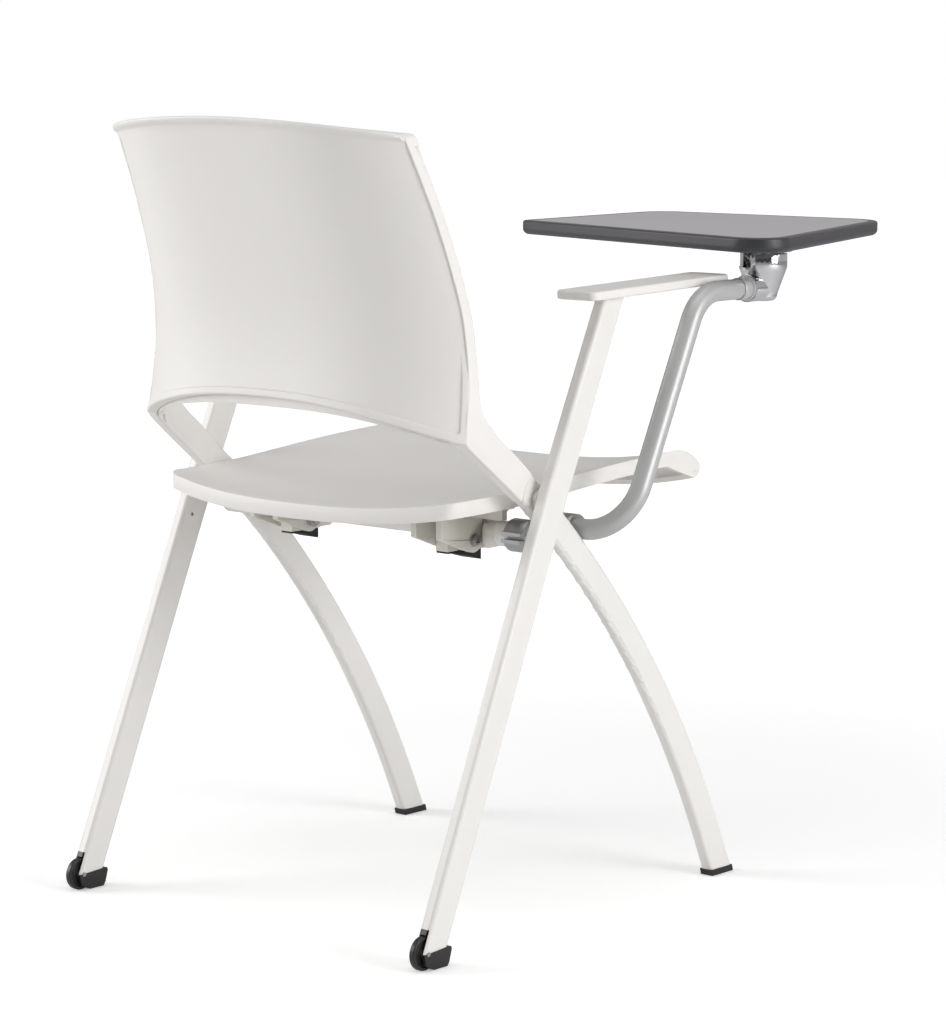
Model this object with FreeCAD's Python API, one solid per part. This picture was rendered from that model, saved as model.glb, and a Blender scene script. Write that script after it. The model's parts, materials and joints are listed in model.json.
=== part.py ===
import FreeCAD, Part
import math
import os

# Flip-seat chair with a writing tablet on its right arm.
# Millimetres. +Z is up, the chair faces -Y and the sitter's right is -X.
# The origin is on the floor, midway between the side frames.

V = FreeCAD.Vector
os.makedirs("parts", exist_ok=True)

# Clearances
RUNNING = 0.05
GAP = 0.3

# Side frame: an outer tube from the rear foot to the armrest, and the front leg's tube inside it
TUBE = 15.0
TUBE_WALL = 2.0
TUBE_ROUND = 4.2
HALF_SPAN = 258.0
FRAME_GAP = 7.0
INNER_OUT = HALF_SPAN - TUBE - FRAME_GAP
INNER_FACE = INNER_OUT - TUBE
REAR_FOOT = (265.9, 17.6)
REAR_FOOT_FRONT = (228.7, 19.8)
NODE_REAR = (68.1, 476.5)
NODE_FRONT = (39.8, 455.6)
SEAM_RISE = 3.0
FRONT_FOOT_REAR = -237.0
FRONT_FOOT_FRONT = -274.0
FRONT_FOOT_ANGLE = 23.9
FRONT_FOOT_STRAIGHT = 35.0
SEAM_TOP = (72.5, 479.0)
SEAM_BOTTOM = (87.0, 450.5)
SEAM_BOW = 4.0
WELD_PAD_DIAMETER = 24.0
WELD_PAD_CENTRE = (63.0, 452.0)
GLIDE_HEIGHT = 7.0
UPRIGHT_TOP_Z = 655.0
UPRIGHT_TOP_REAR = -17.2
UPRIGHT_TOP_DEPTH = 33.7

# Armrest pads
PAD_LENGTH = 232.0
PAD_WIDTH = 54.0
PAD_SHIFT = 3.5
PAD_THICKNESS = 9.5
PAD_REAR_Y = 20.5
PAD_FRONT_Y = PAD_REAR_Y - PAD_LENGTH
PAD_TILT = 1.6
PAD_CORNER = 9.0
PAD_EDGE = 2.5
SPIGOT_LENGTH = 34.0
ARM_SCREW = 4.0

# Caster foot at the rear leg
WHEEL_DIAMETER = 35.0
WHEEL_WIDTH = 7.0
WHEEL_BORE = 5.0
WHEEL_CENTRE_Y = 258.8
WHEEL_CENTRE_Z = 17.38
AXLE_DIAMETER = 4.9
FORK_GAP = 0.8
SHOE_PROUD = 0.9
CASTER_SLOT_TOP = 41.0
CLIP_HEIGHT = 6.0
CLIP_WIDTH = 7.4
SIDE_SCREW = 4.0
SIDE_SCREW_PLACE = (88.3, 395.1)

# Cross members under the seat
CROSS_TUBE_DIAMETER = 22.0
CROSS_TUBE_WALL = 2.0
CROSS_Y = 21.0
CROSS_Z = 404.5
SIDE_TUBE_DIAMETER = 27.0
SIDE_TUBE_WALL = 2.5
SIDE_TUBE_Y = 50.0
SIDE_TUBE_Z = 410.0

# Seat hinge
PIVOT_Y = 52.0
PIVOT_Z = 399.0
PIVOT_BOLT = 8.0
BUSH_WALL = 1.5
KNUCKLE_X = INNER_FACE - 103.25
KNUCKLE_WIDTH = 26.5
CHEEK = 7.5
CHEEK_GAP = 0.5
KNUCKLE_RADIUS = 12.0
CHEEK_RADIUS = 13.0
CHEEK_REAR = 104.0
TAIL_REAR = 73.5
TAIL_WIDTH = 16.5
TAIL_TOP = 404.0
BOLT_HEAD_DIAMETER = 11.0
BOLT_HEAD_HEIGHT = 3.2
HEX_SOCKET = 5.0
WASHER_DIAMETER = 14.0
WASHER_THICKNESS = 1.6
NUT_ACROSS = 13.0
NUT_HEIGHT = 6.5
PAD_GAP = 0.2
NECK_FRONT = 8.0
NECK_REAR = 34.0
NECK_BOTTOM = 388.0
NECK_TOP = 420.0
FLARE_LENGTH = 36.0
HINGE_PLATE_Z = 434.0
HINGE_PLATE = 5.0
PLATE_REACH = 18.0
PLATE_FRONT = 50.0
PLATE_REAR = 40.0
WING_Y = 58.0
WING_THICKNESS = 8.0
WING_BOTTOM = 425.0
HINGE_SCREW = 4.2
HINGE_SCREW_DEPTH = 6.5

# Seat shell
SEAT_SIDE_GAP = 15.0
SEAT_HALF_WIDTH = INNER_FACE - SEAT_SIDE_GAP
SEAT_REAR_Y = 190.0
SEAT_CORNER_Y = 168.0
SEAT_RIM = 16.0
SEAT_RIM_WALL = 4.0
SEAT_SKIN = 4.5
SEAT_DISH_REAR = 14.0
SEAT_DISH_FRONT = 19.5
SEAT_DISH_POWER = 2.6
SEAT_SIDE_LINE = (
    (225.0, 454.5), (165.0, 455.0), (60.0, 457.5), (-40.0, 465.5), (-120.0, 471.5),
    (-190.0, 475.0), (-206.0, 475.5),
)
SEAT_TIP = (-250.0, 456.0)
SEAT_LIP_END = (-240.0, 442.0)
SEAT_LIP_INSIDE = ((-237.5, 447.5), (-242.0, 451.5), (-237.0, 459.5), (-224.0, 466.0), (-200.0, 469.0))
RIB = 3.0
SEAT_BELOW = SEAT_SIDE_LINE[0][1] - 74.5
SEAT_ABOVE = SEAT_SIDE_LINE[-1][1] + 44.5

# Back shells: height, how far in from the arm's outer face, and depth of the outer rear corner
BACK_LINE = (
    (500.0, 5.0, 175.0),
    (530.0, 7.2, 166.6),
    (573.5, 10.4, 160.2),
    (617.0, 12.8, 160.4),
    (661.0, 16.2, 167.3),
    (705.0, 19.8, 181.3),
    (748.0, 23.9, 196.5),
    (790.0, 28.2, 215.5),
    (850.0, 33.5, 244.0),
)
BACK_BULGE = 40.0
BACK_SKIN = 3.0
BACK_DEPTH = 15.0
BACK_TOP_CENTRE = 840.0
BACK_TOP_SIDE = 826.0
BACK_ARCH_CENTRE = 543.0
BACK_ARCH_SIDE = 517.0
PANEL_INSET_SIDE = 16.0
PANEL_TOP_INSET = 13.0
PANEL_ARCH_CENTRE = 558.0
PANEL_ARCH_SIDE = 533.0
PANEL_RECESS = 1.0
ARM_THICKNESS = 15.0
SPIGOT_REACH = 26.0

# Tablet support
TABLET_UNDERSIDE = 695.0
TABLET_TUBE = 22.0
TABLET_TUBE_WALL = 2.0
TABLET_TUBE_X = -(HALF_SPAN + 28.0)
TABLET_RUN_Y = -19.5
TABLET_RUN_Z = 411.5
TABLET_TOP_Z = TABLET_UNDERSIDE - 40.5
TABLET_TOP_KNEE_Y = PAD_FRONT_Y + 72.5
TABLET_TUBE_END = PAD_FRONT_Y - 16.5
LOWER_BEND = 55.0
UPPER_BEND = 50.0
CLAMP_WIDTH = 26.0
CLAMP_X = -(INNER_FACE - 15.0)
TABLET_RUN_START = CLAMP_X + CLAMP_WIDTH / 2 + 6.0
CLAMP_PLATE = 4.0
CLAMP_BOLT = 6.0
COLLAR_LENGTH = 14.0
COLLAR_WALL = 1.0
ELBOW_SOCKET_DIAMETER = 30.0
SWIVEL_Y = PAD_FRONT_Y - 40.5
CUP_DIAMETER = 52.0
CUP_WALL = 4.0
CUP_TOP = TABLET_UNDERSIDE - 4.8
CUP_FLOOR = TABLET_UNDERSIDE - 22.0
POST_DIAMETER = 14.0
SWIVEL_PLATE_DIAMETER = 62.0
SWIVEL_PLATE = 2.5
PLATE_SCREW = 4.0
PLATE_SCREW_RING = 20.0

# Tablet
TABLET_THICKNESS = 16.0
TABLET_CORNERS_FROM_SWIVEL = ((-76.0, 90.0), (55.0, -316.0), (377.0, -301.0), (371.0, -34.0))
TABLET_ROUNDS = (37.0, 62.0, 34.0, 18.0)
TABLET_EDGE_ROUND = 6.5
TABLET_EDGE_BAND = 11.0
LAMINATE = 1.2


def save(name, shape):
    """Write one sub-part; a group of separate solids stays a compound."""
    shape.exportStep(os.path.join("parts", name + ".step"))
    print(name, round(shape.Volume), shape.isValid())


def mirrored(shape):
    """The same shape on the other side of the middle plane."""
    return shape.mirror(V(0, 0, 0), V(1, 0, 0))


def outline(place, start, *steps):
    """Closed wire; a step of one point is a line, a step of two points is an arc."""
    here = start
    edges = []
    for step in steps + (start,):
        if isinstance(step[0], tuple):
            edges.append(Part.Arc(place(*here), place(*step[0]), place(*step[1])).toShape())
            here = step[1]
            continue
        if math.dist(here, step) > 1e-6:
            edges.append(Part.LineSegment(place(*here), place(*step)).toShape())
            here = step
    return Part.Wire(edges)


def side_plane(x):
    """Points (y, z) in the plane at x."""
    return lambda y, z: V(x, y, z)


def floor_plane(z):
    """Points (x, y) in the level plane at z."""
    return lambda x, y: V(x, y, z)


def slab(x, width, *points):
    """Solid of a (y, z) outline, from x towards +X by width."""
    return Part.Face(outline(side_plane(x), *points)).extrude(V(width, 0, 0))


def block(x0, x1, y0, y1, z0, z1):
    """Box between two corners."""
    return Part.makeBox(x1 - x0, y1 - y0, z1 - z0, V(x0, y0, z0))


def rod(diameter, start, end):
    """Round bar from one point to another."""
    way = end - start
    return Part.makeCylinder(diameter / 2, way.Length, start, way)


def arc_middle(a, b, radius, side):
    """Middle of the arc of this radius from a to b, bowed to one side."""
    mx, my = (a[0] + b[0]) / 2, (a[1] + b[1]) / 2
    dx, dy = b[0] - a[0], b[1] - a[1]
    chord = math.hypot(dx, dy)
    sagitta = radius - math.sqrt(radius * radius - chord * chord / 4)
    return (mx - side * dy / chord * sagitta, my + side * dx / chord * sagitta)


def bowed(a, b, rise):
    """Middle of a shallow arc from a to b that rises by this much to the left."""
    chord = math.dist(a, b)
    nx, ny = -(b[1] - a[1]) / chord, (b[0] - a[0]) / chord
    return ((a[0] + b[0]) / 2 + nx * rise, (a[1] + b[1]) / 2 + ny * rise)


# Side frame
def placed(shape, outer_face):
    """Carry a flat left piece, drawn with its outer face at x = 0, to its place."""
    moved = shape.copy()
    moved.translate(V(outer_face, 0, 0))
    return moved


def flat_tube(points, open_ends=()):
    """Flat oval tube, outer face at x = 0: rounded along its length and hollow."""
    wire = outline(side_plane(-TUBE), *points)
    body = Part.Face(wire).extrude(V(TUBE, 0, 0))
    long_edges = [
        e for e in body.Edges
        if abs(e.Vertexes[0].X - e.Vertexes[1].X) < 1e-6
        and not any(end(e.Vertexes[0].Point) and end(e.Vertexes[1].Point) for end in open_ends)
    ]
    body = body.makeFillet(TUBE_ROUND, long_edges)
    inner = outline(side_plane(-TUBE + TUBE_WALL), *points).makeOffset2D(-TUBE_WALL, 2)
    core = Part.Face(inner).extrude(V(TUBE - 2 * TUBE_WALL, 0, 0))
    return body.cut(core)


SEAM_MIDDLE = bowed(NODE_FRONT, NODE_REAR, SEAM_RISE)
LEAN = (NODE_REAR[0] - REAR_FOOT[0]) / (NODE_REAR[1] - REAR_FOOT[1])
MOUTH_INSET = TUBE_WALL + 0.5


def on_seam(point):
    """True on the curved joint between the node and the arm upright."""
    a, b = NODE_REAR, NODE_FRONT
    return min(math.dist((point.y, point.z), a), math.dist((point.y, point.z), b)) < 1e-3


def foot_front(z, inset):
    """Point at height z, set in from the rear leg's front edge near its foot."""
    return (REAR_FOOT_FRONT[0] + LEAN * (z - REAR_FOOT_FRONT[1]) + inset, z)


def foot_rear(z, inset):
    """Point at height z, set in from the rear leg's rear edge."""
    return (REAR_FOOT[0] + LEAN * (z - REAR_FOOT[1]) - inset, z)


def rear_leg():
    """Rear leg up to the node, with the caster's slot in its rear wall."""
    def at_foot(p):
        return p.z < 21.0

    leg = flat_tube((REAR_FOOT, NODE_REAR, (SEAM_MIDDLE, NODE_FRONT), REAR_FOOT_FRONT), (on_seam, at_foot))
    mouth = slab(
        -TUBE + TUBE_WALL, TUBE - 2 * TUBE_WALL,
        foot_front(10.0, MOUTH_INSET), (REAR_FOOT[0] + 20, 10.0), (REAR_FOOT[0] + 20, CASTER_SLOT_TOP),
        foot_rear(CASTER_SLOT_TOP, TUBE_WALL), foot_rear(44.0, TUBE_WALL), foot_front(44.0, MOUTH_INSET),
    )
    leg = leg.cut(mouth).cut(axle(2.0))
    y, z = SIDE_SCREW_PLACE
    return leg.cut(rod(SIDE_SCREW, V(-TUBE - 1, y, z), V(-TUBE + TUBE_WALL + 1, y, z)))


def tangent_arc(start, angle, end):
    """Middle and end of the arc that leaves start at this angle from upright and reaches end."""
    nx, ny = math.cos(math.radians(angle)), -math.sin(math.radians(angle))
    dx, dy = end[0] - start[0], end[1] - start[1]
    radius = (dx * dx + dy * dy) / (2 * (dx * nx + dy * ny))
    return (arc_middle(start, end, radius, 1), end)


def front_leg():
    """Curved tube from the glide, up inside the outer tube, to the seam with the back's arm."""
    def at_foot(p):
        return p.z < GLIDE_HEIGHT + 1e-3

    def at_arm(p):
        return min(math.dist((p.y, p.z), SEAM_TOP), math.dist((p.y, p.z), SEAM_BOTTOM)) < 1e-3

    lean = math.radians(FRONT_FOOT_ANGLE)
    run = (FRONT_FOOT_STRAIGHT * math.sin(lean), FRONT_FOOT_STRAIGHT * math.cos(lean))
    rear_knee = (FRONT_FOOT_REAR + run[0], GLIDE_HEIGHT + run[1])
    front_knee = (FRONT_FOOT_FRONT + run[0], GLIDE_HEIGHT + run[1])
    under = tangent_arc(rear_knee, FRONT_FOOT_ANGLE, SEAM_BOTTOM)[0]
    leg = flat_tube(
        ((FRONT_FOOT_REAR, GLIDE_HEIGHT), (FRONT_FOOT_FRONT, GLIDE_HEIGHT), front_knee,
         tangent_arc(front_knee, FRONT_FOOT_ANGLE, SEAM_TOP),
         (bowed(SEAM_BOTTOM, SEAM_TOP, -SEAM_BOW), SEAM_BOTTOM), (under, rear_knee)),
        (at_foot, at_arm),
    )
    mouth = slab(
        -TUBE + TUBE_WALL, TUBE - 2 * TUBE_WALL,
        (FRONT_FOOT_FRONT + TUBE_WALL + 0.4, 0.0), (FRONT_FOOT_REAR - TUBE_WALL - 0.4, 0.0),
        (FRONT_FOOT_REAR - TUBE_WALL + 0.6, 12.0), (FRONT_FOOT_FRONT + TUBE_WALL + 1.6, 12.0),
    )
    return leg.cut(mouth).cut(placed(arm_spigot(0.0), -INNER_OUT))


def arm_spigot(slack):
    """Left plug that joins the front leg's tube end to the back's arm, hidden in both."""
    middle = ((SEAM_TOP[0] + SEAM_BOTTOM[0]) / 2, (SEAM_TOP[1] + SEAM_BOTTOM[1]) / 2)
    way = V(0, 0.74, 0.67).normalize()
    across = V(0, 0.67, -0.74).normalize()
    centre = V(INNER_OUT - TUBE / 2, *middle)
    half_x, half_d = TUBE / 2 - TUBE_WALL - 0.5 + slack, 8.0 + slack
    corners = [(SPIGOT_REACH, half_d), (-SPIGOT_REACH, half_d), (-SPIGOT_REACH, -half_d), (SPIGOT_REACH, -half_d)]
    points = [centre + way * a + across * b for a, b in corners]
    face = Part.Face(Part.makePolygon([p - V(half_x, 0, 0) for p in points + points[:1]]))
    return face.extrude(V(2 * half_x, 0, 0))


def arm_upright():
    """Upright above the node; its open top takes the armrest's spigot."""
    def at_top(p):
        return p.z > UPRIGHT_TOP_Z - 1e-3

    top_rear = (UPRIGHT_TOP_REAR, UPRIGHT_TOP_Z)
    top_front = (UPRIGHT_TOP_REAR - UPRIGHT_TOP_DEPTH, UPRIGHT_TOP_Z)
    tube = flat_tube((NODE_FRONT, (SEAM_MIDDLE, NODE_REAR), top_rear, top_front), (on_seam, at_top))
    return tube.cut(spigot(0.0, 10.0))


def spigot(slack, rise):
    """Plug that fills the upright's mouth; slack thins it, rise carries it above the mouth."""
    lean = (UPRIGHT_TOP_REAR - NODE_REAR[0]) / (UPRIGHT_TOP_Z - NODE_REAR[1])
    low = UPRIGHT_TOP_Z - SPIGOT_LENGTH
    high = UPRIGHT_TOP_Z + rise
    rear = UPRIGHT_TOP_REAR - TUBE_WALL - 0.4 - slack
    front = UPRIGHT_TOP_REAR - UPRIGHT_TOP_DEPTH + TUBE_WALL + 0.4 + slack
    return slab(
        -TUBE + TUBE_WALL + slack, TUBE - 2 * TUBE_WALL - 2 * slack,
        (front - lean * SPIGOT_LENGTH, low), (rear - lean * SPIGOT_LENGTH, low),
        (rear + lean * rise, high), (front + lean * rise, high),
    )


def armrest():
    """Moulded pad with its plug, softly rounded all round, rising a little to the front."""
    centre_x = -TUBE / 2 - PAD_SHIFT
    bottom = UPRIGHT_TOP_Z
    pad = block(centre_x - PAD_WIDTH / 2, centre_x + PAD_WIDTH / 2, PAD_REAR_Y - PAD_LENGTH, PAD_REAR_Y,
                bottom, bottom + PAD_THICKNESS)
    upright = [e for e in pad.Edges if abs(e.Vertexes[0].Z - e.Vertexes[1].Z) > 1]
    pad = pad.makeFillet(PAD_CORNER, upright)
    rims = [e for e in pad.Edges if abs(e.Vertexes[0].Z - e.Vertexes[-1].Z) < 1e-6]
    pad = pad.makeFillet(PAD_EDGE, rims)
    pad.rotate(V(0, UPRIGHT_TOP_REAR, bottom), V(1, 0, 0), -PAD_TILT)
    seat_cut = block(-60, 60, UPRIGHT_TOP_REAR - UPRIGHT_TOP_DEPTH - 1, UPRIGHT_TOP_REAR + 1,
                     bottom - 5, bottom)
    return pad.cut(seat_cut).fuse(spigot(RUNNING, 2.0)).removeSplitter()


def arm_screw():
    """Set screw through the upright's inner wall into the armrest's plug."""
    y = UPRIGHT_TOP_REAR - UPRIGHT_TOP_DEPTH / 2 + 7.5
    z = UPRIGHT_TOP_Z - SPIGOT_LENGTH / 2
    return y, z


def caster_outline():
    """Side view of the shoe under the rear leg."""
    rear_y, rear_z = REAR_FOOT
    front_y, front_z = REAR_FOOT_FRONT
    return (
        (rear_y, rear_z), (rear_y - 3.0, 6.0), (rear_y - 15.0, 0.0), (front_y + 2.2, 0.0),
        (front_y - 0.6, 4.0), (front_y - 4.4, front_z - 3.2), (front_y - 3.4, front_z - 0.4),
        (front_y, front_z),
    )


def caster_cap():
    """Shoe, plug and rear clip of the caster foot, slotted for the wheel."""
    shoe = slab(-TUBE - SHOE_PROUD, TUBE + 2 * SHOE_PROUD, *caster_outline())
    plug = slab(
        -TUBE + TUBE_WALL + RUNNING, TUBE - 2 * TUBE_WALL - 2 * RUNNING,
        foot_rear(14.0, TUBE_WALL + 0.6), foot_rear(44.0, TUBE_WALL + 0.6),
        foot_front(44.0, MOUTH_INSET + RUNNING), foot_front(14.0, MOUTH_INSET + RUNNING),
    )
    low, high = CASTER_SLOT_TOP - RUNNING - CLIP_HEIGHT, CASTER_SLOT_TOP - RUNNING
    clip = slab(
        -TUBE / 2 - CLIP_WIDTH / 2, CLIP_WIDTH, foot_rear(low, 4.0), foot_rear(low, -0.7),
        foot_rear(high, -0.7), foot_rear(high, 4.0),
    )
    cap = shoe.fuse(plug).fuse(clip)
    slot_half = WHEEL_WIDTH / 2 + FORK_GAP
    clear = WHEEL_DIAMETER / 2 + 1.2
    slot = Part.makeCylinder(clear, 2 * slot_half, V(-TUBE / 2 - slot_half, WHEEL_CENTRE_Y, WHEEL_CENTRE_Z),
                             V(1, 0, 0))
    slot = slot.fuse(block(-TUBE / 2 - slot_half, -TUBE / 2 + slot_half, WHEEL_CENTRE_Y,
                           WHEEL_CENTRE_Y + 30, -1.0, WHEEL_CENTRE_Z + clear))
    cap = cap.cut(slot)
    return cap.cut(axle(2.0))


def axle(reach):
    """Axle across the caster, this far past the tube's sides."""
    start = V(-TUBE - reach, WHEEL_CENTRE_Y, WHEEL_CENTRE_Z)
    return rod(AXLE_DIAMETER, start, start + V(TUBE + 2 * reach, 0, 0))


def wheel():
    """Narrow wheel with a hub, a dished web and a rounded tread."""
    r = WHEEL_DIAMETER / 2
    h = WHEEL_WIDTH / 2
    bore = WHEEL_BORE / 2
    profile = outline(
        lambda a, b: V(a, b, 0),
        (-h, bore), (-h, bore + 2.5), (-h + 1.2, bore + 3.7), (-h + 1.2, r - 4.5), (-h, r - 3.3),
        (-h, r - 1.5), ((-h + 0.44, r - 0.44), (-h + 1.5, r)), (h - 1.5, r),
        ((h - 0.44, r - 0.44), (h, r - 1.5)), (h, r - 3.3), (h - 1.2, r - 4.5),
        (h - 1.2, bore + 3.7), (h, bore + 2.5), (h, bore),
    )
    solid = Part.Face(profile).revolve(V(0, 0, 0), V(1, 0, 0), 360)
    solid.translate(V(-TUBE / 2, WHEEL_CENTRE_Y, WHEEL_CENTRE_Z))
    return solid


def glide():
    """Plastic foot pad with a plug up the front leg's end."""
    pad = slab(
        -TUBE - 0.8, TUBE + 1.6,
        (FRONT_FOOT_REAR + 0.6, GLIDE_HEIGHT), (FRONT_FOOT_REAR - 1.9, -1.0),
        (FRONT_FOOT_FRONT - 2.9, -1.0), (FRONT_FOOT_FRONT - 0.8, GLIDE_HEIGHT),
    )
    plug = slab(
        -TUBE + TUBE_WALL + RUNNING, TUBE - 2 * TUBE_WALL - 2 * RUNNING,
        (FRONT_FOOT_FRONT + TUBE_WALL + 0.8, 3.0), (FRONT_FOOT_REAR - TUBE_WALL - 0.8, 3.0),
        (FRONT_FOOT_REAR - TUBE_WALL + 0.2, 12.0), (FRONT_FOOT_FRONT + TUBE_WALL + 2.0, 12.0),
    )
    return pad.fuse(plug)


def side_frames():
    """Both side frames with their pads, feet and wheels."""
    y, z = arm_screw()
    inner_x = -TUBE
    upright = arm_upright()
    pad = armrest()
    screw_hole = rod(ARM_SCREW, V(inner_x - 3, y, z), V(inner_x + 8, y, z))
    screw = rod(ARM_SCREW, V(inner_x - 0.4, y, z), V(inner_x + 7.5, y, z))
    screw = screw.cut(block(inner_x - 1, inner_x + 1.0, y - 0.5, y + 0.5, z - 3, z + 3))
    below_floor = block(-400, 400, -400, 400, -20, 0)
    pieces = {
        "rear_leg": rear_leg(),
        "front_leg": front_leg(),
        "arm_upright": upright.cut(screw_hole),
        "armrest": pad.cut(screw_hole),
        "caster_cap": caster_cap(),
        "wheel": wheel(),
        "glide": glide(),
    }
    for name, flat in pieces.items():
        left = placed(flat, INNER_OUT if name in ("front_leg", "glide") else HALF_SPAN)
        if name in ("glide", "caster_cap"):
            left = left.cut(below_floor)
        save(name + "_left", left)
        save(name + "_right", mirrored(left))
    pad_y, pad_z = WELD_PAD_CENTRE
    weld_pad = rod(WELD_PAD_DIAMETER, V(INNER_OUT, pad_y, pad_z), V(INNER_OUT + FRAME_GAP, pad_y, pad_z))
    groups = {
        "armrest_screws": placed(screw, HALF_SPAN),
        "wheel_axles": placed(axle(SHOE_PROUD - 0.2), HALF_SPAN),
        "frame_weld_pads": weld_pad,
        "arm_spigots": arm_spigot(0.0),
    }
    for name, left in groups.items():
        save(name, Part.makeCompound([left, mirrored(left)]))


side_frames()


# Places along the hinge
KNUCKLE_IN = KNUCKLE_X - KNUCKLE_WIDTH / 2
KNUCKLE_OUT = KNUCKLE_X + KNUCKLE_WIDTH / 2
CHEEK_IN = KNUCKLE_IN - CHEEK_GAP
CHEEK_OUT = KNUCKLE_OUT + CHEEK_GAP
NECK_END = CHEEK_OUT + CHEEK
FLARE_END = NECK_END + FLARE_LENGTH


# Seat profiles
SEAT_STATIONS = [share * SEAT_HALF_WIDTH for share in (
    -1.03, -0.9, -0.73, -0.49, -0.24, 0.0, 0.24, 0.49, 0.73, 0.9, 1.03)]


def seat_drop(x, y):
    """How far the seat's top lies below its side edge at this place."""
    share = (SEAT_REAR_Y - y) / (SEAT_REAR_Y - SEAT_SIDE_LINE[-1][0])
    dish = SEAT_DISH_REAR + (SEAT_DISH_FRONT - SEAT_DISH_REAR) * min(share, 1.0)
    return dish * (1 - (abs(x) / SEAT_HALF_WIDTH) ** SEAT_DISH_POWER)


def seat_line(x, offset):
    """Side profile points of the seat's top at x, lowered by an offset."""
    return [(y, z - seat_drop(x, y) - offset) for y, z in SEAT_SIDE_LINE]


def smooth(x, points):
    """Smooth edge through (y, z) points in the plane at x."""
    curve = Part.BSplineCurve()
    curve.interpolate([V(x, y, z) for y, z in points])
    return curve.toShape()


def straight(x, *points):
    """Straight edges joining (y, z) points in the plane at x."""
    return [Part.LineSegment(V(x, *a), V(x, *b)).toShape() for a, b in zip(points, points[1:])]


def seat_section(x):
    """Closed profile of the seat's full depth at x, with its curled front lip."""
    def dropped(point):
        return (point[0], point[1] - seat_drop(x, SEAT_SIDE_LINE[-1][0]))

    top = seat_line(x, 0.0)
    low = seat_line(x, SEAT_RIM)[-2::-1]
    crest, tip, end = top[-1], dropped(SEAT_TIP), dropped(SEAT_LIP_END)
    inside = [dropped(p) for p in SEAT_LIP_INSIDE]
    shoulder = V(x, crest[0] - 24.1, crest[1] - 5.1)
    curl = V(x, tip[0] + 1.5, tip[1] - 8.5)
    edges = [smooth(x, top), Part.Arc(V(x, *crest), shoulder, V(x, *tip)).toShape()]
    edges.append(Part.Arc(V(x, *tip), curl, V(x, *end)).toShape())
    edges += straight(x, end, inside[0]) + [smooth(x, inside)] + straight(x, inside[-1], low[0])
    edges += [smooth(x, low)] + straight(x, low[-1], top[0])
    return Part.Wire(edges)


def seat_space(x, offset, limit):
    """Closed profile between the seat's lowered top line and a level limit at x."""
    line = seat_line(x, offset)[:-1]
    rear, front = line[0], line[-1]
    return Part.Wire([smooth(x, line)] + straight(x, front, (front[0], limit), (rear[0], limit), rear))


def seat_loft(section, *details):
    """Loft one kind of seat profile across the whole width."""
    return Part.makeLoft([section(x, *details) for x in SEAT_STATIONS], True, False)


def seat_plan(inset):
    """Plan outline of the seat as a tall prism, drawn in by an inset."""
    w = SEAT_HALF_WIDTH - inset
    corner = SEAT_CORNER_Y - inset
    wire = outline(
        floor_plane(SEAT_BELOW),
        (w - 1, SEAT_TIP[0] - 12.0), ((w + 1, -60.0), (w - 2.5, corner - 27)),
        ((w - 6, corner - 9), (w - 20, corner)), ((0.0, SEAT_REAR_Y - inset), (-w + 20, corner)),
        ((-w + 6, corner - 9), (-w + 2.5, corner - 27)), ((-w - 1, -60.0), (-w + 1, SEAT_TIP[0] - 12.0)),
    )
    return Part.Face(wire).extrude(V(0, 0, SEAT_ABOVE - SEAT_BELOW))


def hinge_pads(margin, low, high):
    """Boxes over both hinge plates, grown by a margin."""
    x0, x1 = CHEEK_IN - CHEEK - PLATE_REACH - margin, CHEEK_OUT + CHEEK + PLATE_REACH + margin
    pad = block(x0, x1, PIVOT_Y - PLATE_FRONT - margin, PIVOT_Y + PLATE_REAR + margin, low, high)
    return pad.fuse(mirrored(pad))


# Cross members and seat hinge
def tube_x(diameter, wall, x0, x1, y, z):
    """Round tube along X."""
    outer = rod(diameter, V(x0, y, z), V(x1, y, z))
    return outer.cut(rod(diameter - 2 * wall, V(x0, y, z), V(x1, y, z)))


def round_box_wire(x, y0, y1, z0, z1, r):
    """Rounded rectangle in the plane at x, as eight edges."""
    k = r * (1 - math.sqrt(0.5))
    return outline(
        side_plane(x), (y1, (z0 + z1) / 2), (y1, z1 - r), ((y1 - k, z1 - k), (y1 - r, z1)), (y0 + r, z1),
        ((y0 + k, z1 - k), (y0, z1 - r)), (y0, z0 + r), ((y0 + k, z0 + k), (y0 + r, z0)),
        (y1 - r, z0), ((y1 - k, z0 + k), (y1, z0 + r)),
    )


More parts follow.
